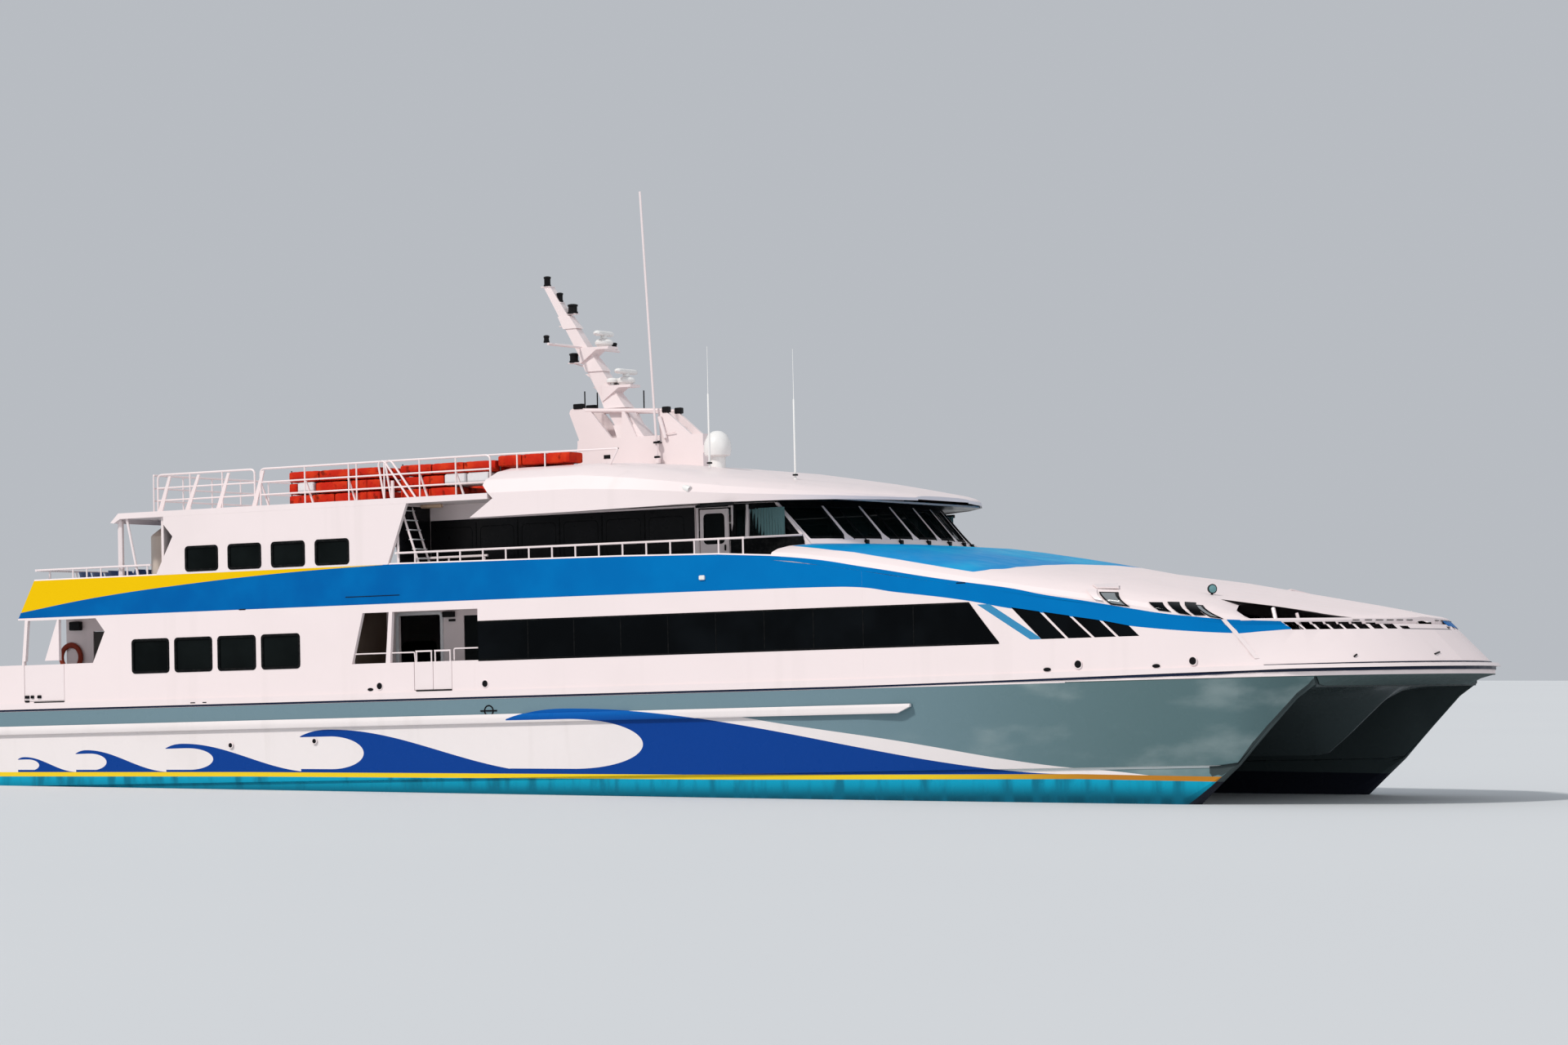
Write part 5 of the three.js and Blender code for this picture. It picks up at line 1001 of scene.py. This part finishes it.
# A dark sheet in the doorway for the unlit passage beyond: painted shade
pair("passage_doorway_shade", SHADE, slab(-16.06, -15.28, -4.60, -4.56, 2.72, 4.55, 0.004))
pair("lifebuoys", ORANGE, torus(-16.80, -4.68, 3.88, 0.33, 0.075, 0.05, 28, 10))
pair("aft_lamp_boxes", BLACK, slab(-16.80, -16.44, -4.76, -4.61, 4.60, 4.84, 0.02))


# Upper deck

def deck_seat():
    """A moulded seat: one curved sheet, pan to back, with rolled sides, thickened."""
    v = np.linspace(0, 1, 9)[:, None]
    u = np.linspace(-1, 1, 7)[None, :]
    along = np.where(v < 0.5, 0.46 - 0.84 * v, 0.04 - 0.22 * (v - 0.5) * 2)
    rise = np.where(v < 0.5, 0.40 + 0.03 * (1 - 2 * v), 0.40 + 0.64 * (v - 0.5) * 2)
    roll = 0.035 * u ** 4
    along, rise = along + roll * (v > 0.5), rise + roll * (v <= 0.5)
    outer = np.stack([along, 0.225 * u + 0 * v, rise], -1)
    return thick(outer, outer - (0.02, 0, 0.02))


SEAT_ROWS = (-16.20, -15.20, -14.30)
TRUNK = [(0, 0), (0.35, 0), (0.35, 1.90), (0.31, 1.95), (0.06, 2.14), (0, 2.15)]
seats_at = [(x, y, UPPER_DECK_Z + 0.03) for x in SEAT_ROWS for y in np.linspace(-4.6, 4.6, 18)]
beams = [slab(x + 0.10, x + 0.22, -4.85, 4.85, UPPER_DECK_Z + 0.30, UPPER_DECK_Z + 0.36) for x in SEAT_ROWS]
legs = [slab(x + 0.11, x + 0.21, y - 0.03, y + 0.03, UPPER_DECK_Z + 0.07, UPPER_DECK_Z + 0.31)
        for x in SEAT_ROWS for y in (-4.5, -2.7, -0.9, 0.9, 2.7, 4.5)]
plinth = slab(-16.3, -13.9, -4.9, 4.9, UPPER_DECK_Z + 0.002, UPPER_DECK_Z + 0.08, 0.02)
build("deck_seats", SEAT_BLUE, moved(deck_seat(), *seats_at), slot="seat_blue")
build("seat_frames", LOCKER_WHITE, *beams, *legs, plinth, stands_for=("aft_deck_seats",))
pair("canopy_stays", WHITE_PAINT, rod((-13.74, -6.0, 7.46), (-13.39, -6.0, 5.92), 0.035),
     rod((-16.72, -5.6, 5.14), (-16.72, -5.6, 6.1), 0.03))
pair("vent_trunks", CREAM, lathe(TRUNK, (-13.50, -4.75, UPPER_DECK_Z + 0.003), 24))

LADDER_Y, LADDER_HALF = -5.62, 0.24
LADDER_FOOT, LADDER_HEAD = np.array([-4.15, LADDER_Y, 5.12]), np.array([-4.98, LADDER_Y, 7.40])
pair("roof_ladder_stringers", WHITE_PAINT,
     *[rod(LADDER_FOOT + (0, y, 0), LADDER_HEAD + (0, y, 0), 0.03) for y in (-LADDER_HALF, LADDER_HALF)])
treads_at = LADDER_FOOT + (LADDER_HEAD - LADDER_FOOT) * np.linspace(0.08, 0.95, 9)[:, None]
pair("roof_ladder_treads", LOCKER_WHITE,
     moved(slab(-0.07, 0.07, -LADDER_HALF, LADDER_HALF, -0.012, 0.012, 0.005), *treads_at))
RAIL_Y = -5.0
GRAB = [(-5.30, RAIL_Y, 7.61), (-6.10, RAIL_Y, 8.66), (-6.28, RAIL_Y, 8.62), (-6.09, RAIL_Y, 7.61)]
pair("ladder_grab_rails", WHITE_PAINT, moved(tube(rounded(GRAB, 0.12), 0.028), (0, 0, 0), (0.22, 0, 0)),
     rod((-5.83, RAIL_Y, 7.61), (-5.83, RAIL_Y, 8.12), 0.045))
pair("soffit_lamps", plain_paint("lamp lens", (0.72, 0.50, 0.34), rough=0.3),
     slab(-4.93, -4.30, -5.06, -4.94, 7.36, 7.455, 0.02))
bench_legs = [rod((x, -5.3, UPPER_DECK_Z + 0.01), (x, -5.3, 6.10), 0.025) for x in (-5.05, -3.9, -2.8)]
pair("side_deck_bench_bars", WHITE_PAINT, *bench_legs,
     *[slab(-5.15, -2.70, -5.34, -5.27, z, z + 0.06) for z in (5.84, 6.04)])
# Cap on the upper bulwark. Columns: X, height
CAP = [(-16.86, 5.925), (-5.2, 5.925), (1.7, 5.855), (4.6, 5.795), (6.1, 5.705)]
pair("bulwark_caps", WHITE_PAINT, tube([(x, -6.05, z) for x, z in CAP], 0.035, 6))


# Wheelhouse windows

# Front windows: x = HELM_X - HELM_CURVE * y^2 - HELM_RAKE * (z - HELM_FOOT_Z)
HELM_X, HELM_HALF, HELM_CURVE, HELM_RAKE, HELM_FOOT_Z = 7.50, 4.17, 0.083, 0.89, 6.05
HELM_AFT_X = 3.05
SILL_Z, HEAD_Z = 6.20, 7.02


def helm_x(y, z):
    """The raked and curved front of the wheelhouse."""
    above_foot = np.maximum(0.0, np.asarray(z, float) - HELM_FOOT_Z)
    return HELM_X - HELM_CURVE * np.square(y) - HELM_RAKE * above_foot


def front_patch(rows, proud, behind, count=5):
    """A pane on the front. rows hold its height and the Y of its two edges there."""
    z, low, high = np.hsplit(np.asarray(rows, float), 3)
    y = low + (high - low) * np.linspace(0, 1, count)[None, :]
    z = z + 0 * y
    lean = np.array([1.0, 0.0, HELM_RAKE]) / math.hypot(1.0, HELM_RAKE)
    flat = np.stack([helm_x(y, z), y, z], -1)
    return thick(flat + proud * lean, flat - behind * lean)


def front_bar(low, high, proud):
    """A bar across the whole front."""
    return front_patch([(z, -HELM_HALF, HELM_HALF) for z in (low, high)], proud, 0.02, 37)


def side_patch(corners, proud, behind=0.05):
    """A pane on the slanting side of the wheelhouse: four corners in X and height."""
    x, z = np.asarray(corners, float).T
    share = (x - HELM_AFT_X) / (helm_x(HELM_HALF, z) - HELM_AFT_X)
    y = -CABIN_Y + (CABIN_Y - HELM_HALF) * np.clip(share, 0, 1)
    ring = np.stack([x, y, z], -1)
    return loft(np.stack([ring + (0, behind, 0), ring - (0, proud, 0)]))


EDGES = np.linspace(-HELM_HALF, HELM_HALF, 9)
MULLIONS = EDGES[1:-1]
# Columns: height, half-width of the mullion, which flares at its foot
FLARE = [(SILL_Z - 0.045, 0.120), (SILL_Z + 0.015, 0.085), (SILL_Z + 0.06, 0.052), (SILL_Z + 0.12, 0.036),
         (SILL_Z + 0.45, 0.028), (HEAD_Z - 0.02, 0.026)]
front_panes = [[(z, starboard + 0.03, port - 0.03) for z in (SILL_Z - 0.02, HEAD_Z + 0.02)]
               for starboard, port in zip(EDGES, EDGES[1:])]
build("front_panes", HELM_GLASS, *[front_patch(rows, -0.028, 0.04) for rows in front_panes],
      slot="tinted_glazing")
mullions = [[(z, max(y - w, -HELM_HALF), min(y + w, HELM_HALF)) for z, w in FLARE] for y in MULLIONS]
build("front_mullions", WHITE_PAINT, *[front_patch(rows, 0.016, 0.03, 3) for rows in mullions],
      slot="white_paint")
rims = [[(z, y + side * w, y + side * (w + 0.034)) for z, w in FLARE] for y in MULLIONS for side in (-1, 1)]
build("front_rims", RUBBER, *[front_patch(rows, 0.006, 0.03, 3) for rows in rims])
build("front_header", RUBBER, front_bar(HEAD_Z - 0.05, HEAD_Z + 0.085, 0.010),
      front_bar(SILL_Z - 0.03, SILL_Z + 0.03, 0.004))
PILLAR = [(z, -HELM_HALF, -HELM_HALF + wide) for z, wide in ((6.03, 0.15), (6.2, 0.10), (7.09, 0.04))]
SIDE_PILLAR = [(6.12, 6.03), (6.03, 6.03), (5.12, 7.09), (5.20, 7.09)]
pair("corner_pillars", WHITE_PAINT, side_patch(SIDE_PILLAR, 0.02), front_patch(PILLAR, 0.016, 0.05, 3),
     slot="white_paint")
SIDE_PANE = [(4.02, SILL_Z), (5.80, SILL_Z), (5.10, HEAD_Z), (4.02, HEAD_Z)]
# Dark surrounds of the side window: sill, aft post, fore post, head
SILL_TRIM = [(4.00, 5.74), (6.02, 5.74), (5.90, 6.28), (4.00, 6.28)]
OTHER_TRIM = [[(4.00, 6.28), (4.12, 6.28), (4.12, 6.98), (4.00, 6.98)],
              [(5.62, 6.28), (5.86, 6.24), (5.22, 7.00), (4.92, 6.98)],
              [(4.00, 6.95), (5.20, 6.95), (5.10, 7.10), (4.00, 7.10)]]
pair("side_panes", HELM_GLASS, side_patch(SIDE_PANE, -0.03, 0.045), slot="tinted_glazing")
SIDE_MULLION = [(4.38, 6.26), (4.46, 6.26), (4.46, 6.97), (4.38, 6.97)]
pair("side_surrounds", RUBBER, side_patch(SILL_TRIM, 0.022, 0.02),
     *[side_patch(corners, 0.006) for corners in OTHER_TRIM])
pair("side_mullions", WHITE_PAINT, side_patch(SIDE_MULLION, 0.016))
pair("corner_rail_bars", WHITE_PAINT, rod((5.31, -6.05, 6.17), (5.90, -4.24, 6.26), 0.026))


def pleated_blind(x0, x1, pleats):
    """A stiff pleated blind: y follows a cosine along X, the same at each height; its fore end leans back."""
    low, high = 6.24, 6.97
    u = np.linspace(0, 1, pleats * 6 + 1)[:, None]
    v = np.linspace(0, 1, 3)[None, :]
    x = x0 + (x1 - x0) * u - 0.55 * v * (u > 0.97)
    y = -4.29 + 0.014 * np.cos(2 * np.pi * pleats * u)
    flat = np.stack([x + 0 * v, y + 0 * v, low + (high - low) * v + 0 * u], -1)
    return thick(flat, flat + (0, 0.006, 0))


def wiper(y):
    """A wiper: arm from a black foot on the sill up the pane, and a blade along the rake."""
    foot, head, blade, tip = [np.array([float(helm_x(y, z)) + off, y + shift, z]) for shift, z, off in (
        (0.0, 6.12, 0.05), (-0.10, 6.62, 0.06), (-0.16, 6.34, 0.045), (-0.06, 6.90, 0.045))]
    return join(rod(foot, head, 0.014, 6), rod(blade, tip, 0.012, 6),
                slab(foot[0] - 0.05, foot[0] + 0.05, y - 0.05, y + 0.05, 6.03, 6.14))


def cowl_half(x):
    """Half-breadth of the roof cowl: 6.1 * sqrt(1 - t^3)."""
    t = np.clip((x - 0.5) / 7.18, 0, 1)
    return float(BEAM * np.sqrt(1 - t ** 3))


pair("side_window_blinds", BLIND, pleated_blind(4.42, 5.50, 13), pleated_blind(4.06, 4.32, 4))
build("wipers", BLACK, *[wiper(y + 0.40) for y in EDGES[1:-2]])
pair("door_head_flashing", BLACK, slab(3.10, 4.02, -4.66, -4.59, 7.03, 7.095, 0.008))
pair("door_head_notch", BLACK, on_wall(3.86, 4.78, 6.998, 7.085, 0.012, 0.05, 0.006, cowl_half(4.3)))
HELM_DOOR_Y = 4.50
DOOR_RIM = frame_round(rounded_outline(3.28, 3.83, 6.15, 6.85, 0.08), 0.03, 0.035, 0.0, 0.01, HELM_DOOR_Y)
DOOR_PANE = on_wall(3.27, 3.84, 6.12, 6.88, 0.017, -0.005, 0.003, HELM_DOOR_Y)
DOOR_HANDLE = on_wall(3.87, 3.90, 5.95, 6.10, 0.075, -0.025, 0.01, HELM_DOOR_Y)
# The port leaf is the mirror image; join alone leaves a shell as it is
for side, facing in (("starboard", join), ("port", mirrored)):
    leaf = f"wheelhouse_door_{side}"
    build(f"{leaf}_glass", CABIN_GLASS, facing(DOOR_PANE), body=leaf)
    build(f"{leaf}_rim", RUBBER, facing(DOOR_RIM, DOOR_HANDLE), body=leaf)


def chair(x, y, floor):
    """A pilot's chair: column, cushion and a tall back with a head rest."""
    column = [(0, 0), (0.22, 0), (0.20, 0.03), (0.05, 0.05), (0.05, 0.5), (0, 0.5)]
    return join(lathe(column, (x, y, floor), 14),
                slab(x - 0.24, x + 0.26, y - 0.26, y + 0.26, floor + 0.48, floor + 0.60, 0.05),
                slab(x - 0.32, x - 0.20, y - 0.25, y + 0.25, floor + 0.58, floor + 1.18, 0.05),
                slab(x - 0.30, x - 0.20, y - 0.14, y + 0.14, floor + 1.18, floor + 1.36, 0.04))


build("pilot_chairs", BLACK, *[chair(5.0, y, UPPER_DECK_Z + 0.004) for y in (-1.1, 1.1)])


# Roof rails, floats and lockers

RAIL_BARS_Z, RAIL_TOP_Z = (7.95, 8.28), 8.63
POST_TOP_Z = 8.62
END_RAIL_X = -13.62


def rail_section(x0, x1):
    """A rail section: a hoop with rounded upper corners and two bars between its legs."""
    hoop = [(x0, RAIL_Y, ROOF_FOOT_Z), (x0, RAIL_Y, RAIL_TOP_Z),
            (x1, RAIL_Y, RAIL_TOP_Z), (x1, RAIL_Y, ROOF_FOOT_Z)]
    bars = [rod((x0, RAIL_Y, z), (x1, RAIL_Y, z), 0.022) for z in RAIL_BARS_Z]
    return join(tube(rounded(hoop, 0.14), 0.028), *bars)


def post(x, y):
    """An upright of the roof rail."""
    return rod((x, y, ROOF_FOOT_Z), (x, y, POST_TOP_Z), 0.022)


def flat_stay(foot, head, wide):
    """A flat bar from a foot to a head point, its broad side outboard, narrower at its head."""
    corners = np.array([(-1, -1, 0), (1, -1, 0), (1, 1, 0), (-1, 1, 0)]) * (wide, 0.02, 0)
    return loft([corners + foot, corners * (0.55, 1, 0) + head])


rails = [rail_section(-13.48, -10.26), rail_section(-10.07, -2.78)]
rails += [post(x, RAIL_Y) for x in (-12.40, -11.33, -8.63, -7.22, -6.97, -6.09, -4.98, -3.85)]
# Flat stays. Columns: X of the foot, X of the head
STAYS = [(-13.42, -13.07), (-12.52, -12.10), (-11.48, -11.11), (-10.30, -9.98)]
rails += [flat_stay((foot, RAIL_Y, ROOF_FOOT_Z), (head, RAIL_Y, 8.58), 0.075) for foot, head in STAYS]
rails += [flat_stay((x + 0.16, RAIL_Y + 0.14, ROOF_FOOT_Z), (x, RAIL_Y + 0.02, 8.25), 0.028)
          for x in (-10.06, -8.61, -7.25, -4.98, -3.85)]
over_cowl = rounded([(-2.83, RAIL_Y, RAIL_TOP_Z), (1.09, RAIL_Y, 8.60), (0.85, RAIL_Y, 8.22)], 0.06)
cowl_rail = [tube(over_cowl, 0.024)]
cowl_rail += [rod((x, RAIL_Y, POST_TOP_Z), (x, RAIL_Y, 8.22), 0.02) for x in (-1.96, -1.11)]
cross = [rod((END_RAIL_X, RAIL_Y, z), (END_RAIL_X, -RAIL_Y, z), r)
         for z, r in zip((*RAIL_BARS_Z, RAIL_TOP_Z), (0.022, 0.022, 0.028))]
cross += [post(END_RAIL_X, y) for y in np.linspace(RAIL_Y, -RAIL_Y, 9)]
build("roof_rail_bars", WHITE_PAINT, both_sides(*rails), *cowl_rail, *cross, slot="white_paint",
      stands_for=("roof_rails",))

# Rows of float blocks. Columns: aft X, fore X, foot, blocks in the outer row, blocks in the inner row
FLOAT_ROWS = [(-9.40, -6.46, 7.62, 4, 4), (-9.40, -9.10, 7.93, 1, 1), (-8.55, -6.46, 7.93, 2, 2),
              (-9.40, -6.46, 8.24, 3, 3), (-5.83, -4.08, 7.62, 2, 2), (-5.83, -4.44, 7.93, 2, 2),
              (-5.83, -2.84, 8.24, 3, 3)]
COWL_FLOATS = (-2.78, -0.58, 8.34, 3, 2)
BLOCK_DEEP, BLOCK_HIGH, BLOCK_CORNER = 0.68, 0.285, 0.22


def float_block(x0, x1, y0, z0):
    """A foam block with bulging faces: a box whose faces swell by a cosine, pinched where its straps run."""
    u = np.linspace(-1, 1, 13)[:, None]
    a = np.linspace(0, 2 * np.pi, 24, endpoint=False)[None, :]
    across, up = (np.sign(c) * np.abs(c) ** BLOCK_CORNER for c in (np.cos(a), np.sin(a)))
    swell = (1 - 0.10 * np.abs(u) ** 8) * (1 - 0.035 * np.exp(-((np.abs(u) - 0.5) / 0.07) ** 2))
    x = (x0 + x1) / 2 + (x1 - x0) / 2 * u + 0 * a
    y = y0 + BLOCK_DEEP / 2 * (1 + across * swell)
    z = z0 + BLOCK_HIGH / 2 * (1 + up * swell)
    return loft(np.stack([x, y, z], -1))


def float_row(aft, fore, foot, outer, inner):
    """Blocks two deep with narrow dark gaps."""
    step = (fore - aft) / outer
    return join(*[float_block(aft + k * step + 0.02, aft + (k + 1) * step - 0.02, y, foot)
                  for y, count in ((-4.70, outer), (-3.99, inner)) for k in range(count)])


build("float_blocks", FLOAT_SKIN, both_sides(*[float_row(*row) for row in FLOAT_ROWS]),
      float_row(*COWL_FLOATS), slot="float_orange", stands_for=("life_floats_starboard", "life_floats_port"))
RACKS = ((-9.40, -6.46), (-5.83, -2.84))
# The racks under the floats are near black: painted shade under the blocks
pair("float_racks", SHADE, *[slab(aft, fore, -4.55, -3.35, 7.604, 7.618, 0.002) for aft, fore in RACKS],
     *[rod((x, y, 7.604), (x, y, 8.56), 0.02, 6) for aft, fore in RACKS for x in (aft - 0.03, fore + 0.03)
       for y in (-4.5, -3.5)])
LOCKERS = ((-9.08, -8.58), (-4.40, -3.74), (-3.70, -3.05))
pair("roof_lockers", LOCKER_WHITE, *[slab(aft, fore, -4.72, -3.7, 7.94, 8.23, 0.03) for aft, fore in LOCKERS])


# Mast housing, mast and aerials

def lantern(x, y, z, radius=0.10, high=0.27):
    """A black navigation lamp: base, lens band and cap."""
    lens = radius * 0.86
    profile = [(0, 0), (radius, 0), (radius, 0.05), (lens, 0.06), (lens, high - 0.07), (radius, high - 0.06),
               (radius, high - 0.02), (radius * 0.5, high), (0, high)]
    return lathe(profile, (x, y, z), 16)


MAST_FOOT, MAST_TOP = np.array([-1.55, 0, 9.205]), np.array([-4.22, 0, 13.35])


def on_mast(z, ahead=0.0):
    """The point on the mast's centre line at a height, moved along X."""
    share = (z - MAST_FOOT[2]) / (MAST_TOP[2] - MAST_FOOT[2])
    return MAST_FOOT + (MAST_TOP - MAST_FOOT) * share + (ahead, 0, 0)


def collar(z, long, wide):
    """A tapering sleeve round the mast, 0.34 m high. long and wide are half-sizes at its foot."""
    corners = np.array([(-1, -1, 0), (1, -1, 0), (1, 1, 0), (-1, 1, 0)]) * (long, wide, 0)
    return loft([on_mast(z) + corners, on_mast(z + 0.34) + corners * 0.82])


# Lamps. Columns: X, height of the foot, radius, height
LAMPS = [(-4.27, 13.37, 0.10, 0.28), (-3.88, 12.93, 0.09, 0.26), (-3.48, 12.60, 0.14, 0.26),
         (-3.47, 11.30, 0.13, 0.26)]
build("mast_lamps", BLACK, *[lantern(x, 0, z, r, h) for x, z, r, h in LAMPS],
      both_sides(lantern(-3.25, -1.62, 11.72, 0.08, 0.2)))
brackets = [slab(-4.40, -4.10, -0.12, 0.12, 13.345, 13.37, 0.004)]
for x, z, radius, _ in LAMPS[1:]:
    near = on_mast(z)
    brackets += [slab(min(x - radius, near[0]), max(x + radius, near[0]), -0.10, 0.10, z - 0.025, z, 0.004),
                 rod(near - (0, 0, 0.2), (x, 0, z - 0.02), 0.018, 6)]
build("lamp_brackets", WHITE_PAINT, *brackets)
steps = [rod(on_mast(z, -0.55 + 0.30 * (13 - z) / 4 + 0.12), on_mast(z), 0.016, 6)
         for z in (9.95, 10.30, 10.64, 10.99, 11.35, 12.29)]
# Gussets behind the radar platforms. Columns: drop, distance ahead of the mast
GUSSET = ((0, -0.42), (0, -0.1), (0.32, -0.16))
gussets = [plate([on_mast(z - drop, ahead)[[0, 2]] for drop, ahead in GUSSET], -0.02, 0.02)
           for z in (10.62, 10.98)]
build("mast_steps", WHITE_PAINT, *steps, *gussets)
# Collars. Columns: height, half-length, half-width
COLLARS = ((9.22, 0.42, 0.30), (10.02, 0.33, 0.24), (11.02, 0.27, 0.20), (12.2, 0.22, 0.16))
build("mast_collars", WHITE_PAINT, *[collar(*row) for row in COLLARS])

# Radars. Columns: body, X of the turning axis, platform, half-length of the bar
RADARS = [("radar_lower", -1.85, 10.62, 0.50), ("radar_upper", -2.52, 11.66, 0.42)]
TURRET = [(0, 0), (0.16, 0), (0.18, 0.02), (0.235, 0.07), (0.245, 0.13), (0.20, 0.185), (0.12, 0.20),
          (0, 0.20)]
MUSHROOM = [(0, 0), (0.04, 0), (0.04, 0.06), (0.15, 0.08), (0.155, 0.14), (0.11, 0.19), (0, 0.21)]


def radar_bar(x, z, half):
    """A bar with an oval section and blunt round ends, and the hub under it."""
    u = np.linspace(-1, 1, 15)[:, None]
    a = np.linspace(0, 2 * np.pi, 16, endpoint=False)[None, :]
    end = np.sqrt(np.maximum(0.02, 1 - np.abs(u) ** 10))
    bar = np.stack([x + 0.105 * np.cos(a) * end, half * u + 0 * a, z + 0.35 + 0.075 * np.sin(a) * end], -1)
    return join(loft(bar), lathe([(0, 0), (0.10, 0), (0.085, 0.1), (0, 0.1)], (x, 0, z + 0.213), 16))


for body, x, z, half in RADARS:
    build(f"{body}_bar", DOME_WHITE, radar_bar(x, z, half), body=body, stands_for=(f"{body}_scanner",))
build("radar_turrets", DOME_WHITE, *[lathe(TURRET, (x, 0, z + 0.001), 24) for _, x, z, _ in RADARS])
build("mast_mushrooms", DOME_WHITE, both_sides(lathe(MUSHROOM, (-2.20, -0.13, 10.62), 18)))

pair("housing_lamps", BLACK, slab(-3.29, -3.00, -0.375, -0.235, 10.04, 10.18, 0.015),
     slab(-0.53, -0.33, -0.375, -0.235, 9.80, 9.96, 0.015))
build("housing_aerials", BLACK, both_sides(rod((-2.96, -0.30, 10.02), (-2.96, -0.30, 10.50), 0.018)),
      rod((-1.12, -0.30, 9.92), (-1.12, -0.30, 10.42), 0.018))
pair("housing_bars", WHITE_PAINT, tube([(-2.94, -0.30, 9.99), (-0.56, -0.30, 9.87)], 0.055, 12),
     tube([(-0.42, -0.40, 9.13), (-0.59, -0.40, 9.70)], 0.055, 12),
     rod((-0.42, -0.40, 9.25), (-0.12, -0.40, 9.28), 0.014, 6))
HOUSING_Y = 0.345
pair("housing_vents", BLACK, on_wall(-2.37, -2.17, 8.69, 8.79, 0.012, 0.002, wall=HOUSING_Y),
     on_wall(-0.72, -0.62, 9.02, 9.08, 0.012, 0.002, wall=HOUSING_Y))
# A dark line under the housing's box edge: painted shadow
pair("housing_edge_shadow", SHADE, on_wall(-3.17, -1.90, 8.93, 8.96, 0.008, 0.002, wall=HOUSING_Y))


def clamp(x, y, z, radius, high, segments):
    """A round collar about an upright aerial."""
    return lathe([(0, 0), (radius, 0), (radius, high), (0, high)], (x, y, z), segments)


def short_whip(x, foot, tip, y=-3.0):
    """A thin whip on a thick lower half with a base clamp."""
    long = tip - foot
    middle = 0.62 * long
    return lathe([(0, 0), (0.05, 0), (0.05, 0.10), (0.028, 0.12), (0.024, middle), (0.009, middle + 0.03),
                  (0.006, long), (0, long)], (x, y, foot), 10)


# The tall whip leans aft: its X and height at the foot, and its change in X for each metre up
WHIP_X, WHIP_FOOT_Z, WHIP_LEAN = -0.60, 8.3, -0.052
build("whip_clamps", BLACK,
      *[clamp(WHIP_X + WHIP_LEAN * (z - WHIP_FOOT_Z), -0.50, z, 0.085, 0.05, 14) for z in (8.42, 8.62, 9.0)],
      *[slab(WHIP_X - 0.08, WHIP_X + 0.04, -0.50, -0.34, z, z + 0.03, 0.004) for z in (8.44, 9.01)])
build("short_whips", DOME_WHITE, short_whip(2.52, 8.00, 11.18), short_whip(5.02, 7.62, 10.96))
build("whip_base_clamps", BLACK, clamp(2.52, -3.0, 8.22, 0.07, 0.04, 12),
      clamp(5.02, -3.0, 7.80, 0.07, 0.04, 12))

# Lamps under the cowl's edge
COWL_LAMP_AT = (3.55, -cowl_half(3.55) + 0.10, 7.46)
HOOD = [(0, -0.12), (0.05, -0.11), (0.085, -0.02), (0.09, 0.10), (0.07, 0.10), (0.0, 0.03)]
LENS = [(0, 0.045), (0.068, 0.045), (0.068, 0.06), (0, 0.06)]
for name, profile, material in (("cowl_deck_lamps", HOOD, DOME_WHITE), ("cowl_lamp_glass", LENS, BLACK)):
    pair(name, material, moved(turned(lathe(profile, segments=18, axis="x"), 20, "Y"), COWL_LAMP_AT))


# Moving leaves

def leaf_pane(x, y, floor):
    """The pane at eye height in a door whose leaf stands across the ship."""
    return slab(x, x + 0.015, y - 0.225, y + 0.225, floor + 1.095, floor + 1.705, 0.003)


for side, y in (("starboard", -2.6), ("port", 2.6)):
    leaf = f"saloon_door_{side}"
    build(f"{leaf}_pane", CABIN_GLASS, leaf_pane(-13.875, y, DECK_Z), body=leaf)
    build(f"{leaf}_handle", ALLOY,
          rod((-13.90, y + 0.32, DECK_Z + 0.98), (-13.90, y + 0.32, DECK_Z + 1.16), 0.014), body=leaf)
build("aft_house_door_pane", CABIN_GLASS, leaf_pane(-12.572, -2.4, UPPER_DECK_Z), body="aft_house_door")


# Floor at the waterline

def floor():
    """A square of still floor in the plane of the water, which falls towards the bow."""
    side = np.array([-900.0, 900.0])
    x, y = np.meshgrid(side, side, indexing="ij")
    mesh = bpy.data.meshes.new("floor")
    points = np.stack([x, y, -WATER_FALL * x], -1).reshape(-1, 3) * HALF
    mesh.from_pydata(points.tolist(), [], [(0, 2, 3, 1)])
    ground = bpy.data.objects.new("floor", mesh)
    bpy.context.scene.collection.objects.link(ground)
    paint = Paint("studio floor", Roughness=0.75)
    color = paint.mix(paint.noise(0.02), (0.60, 0.62, 0.64), (0.64, 0.66, 0.67))
    paint.feed(paint.shader["Base Color"], color)
    mesh.materials.append(paint.material)


floor()
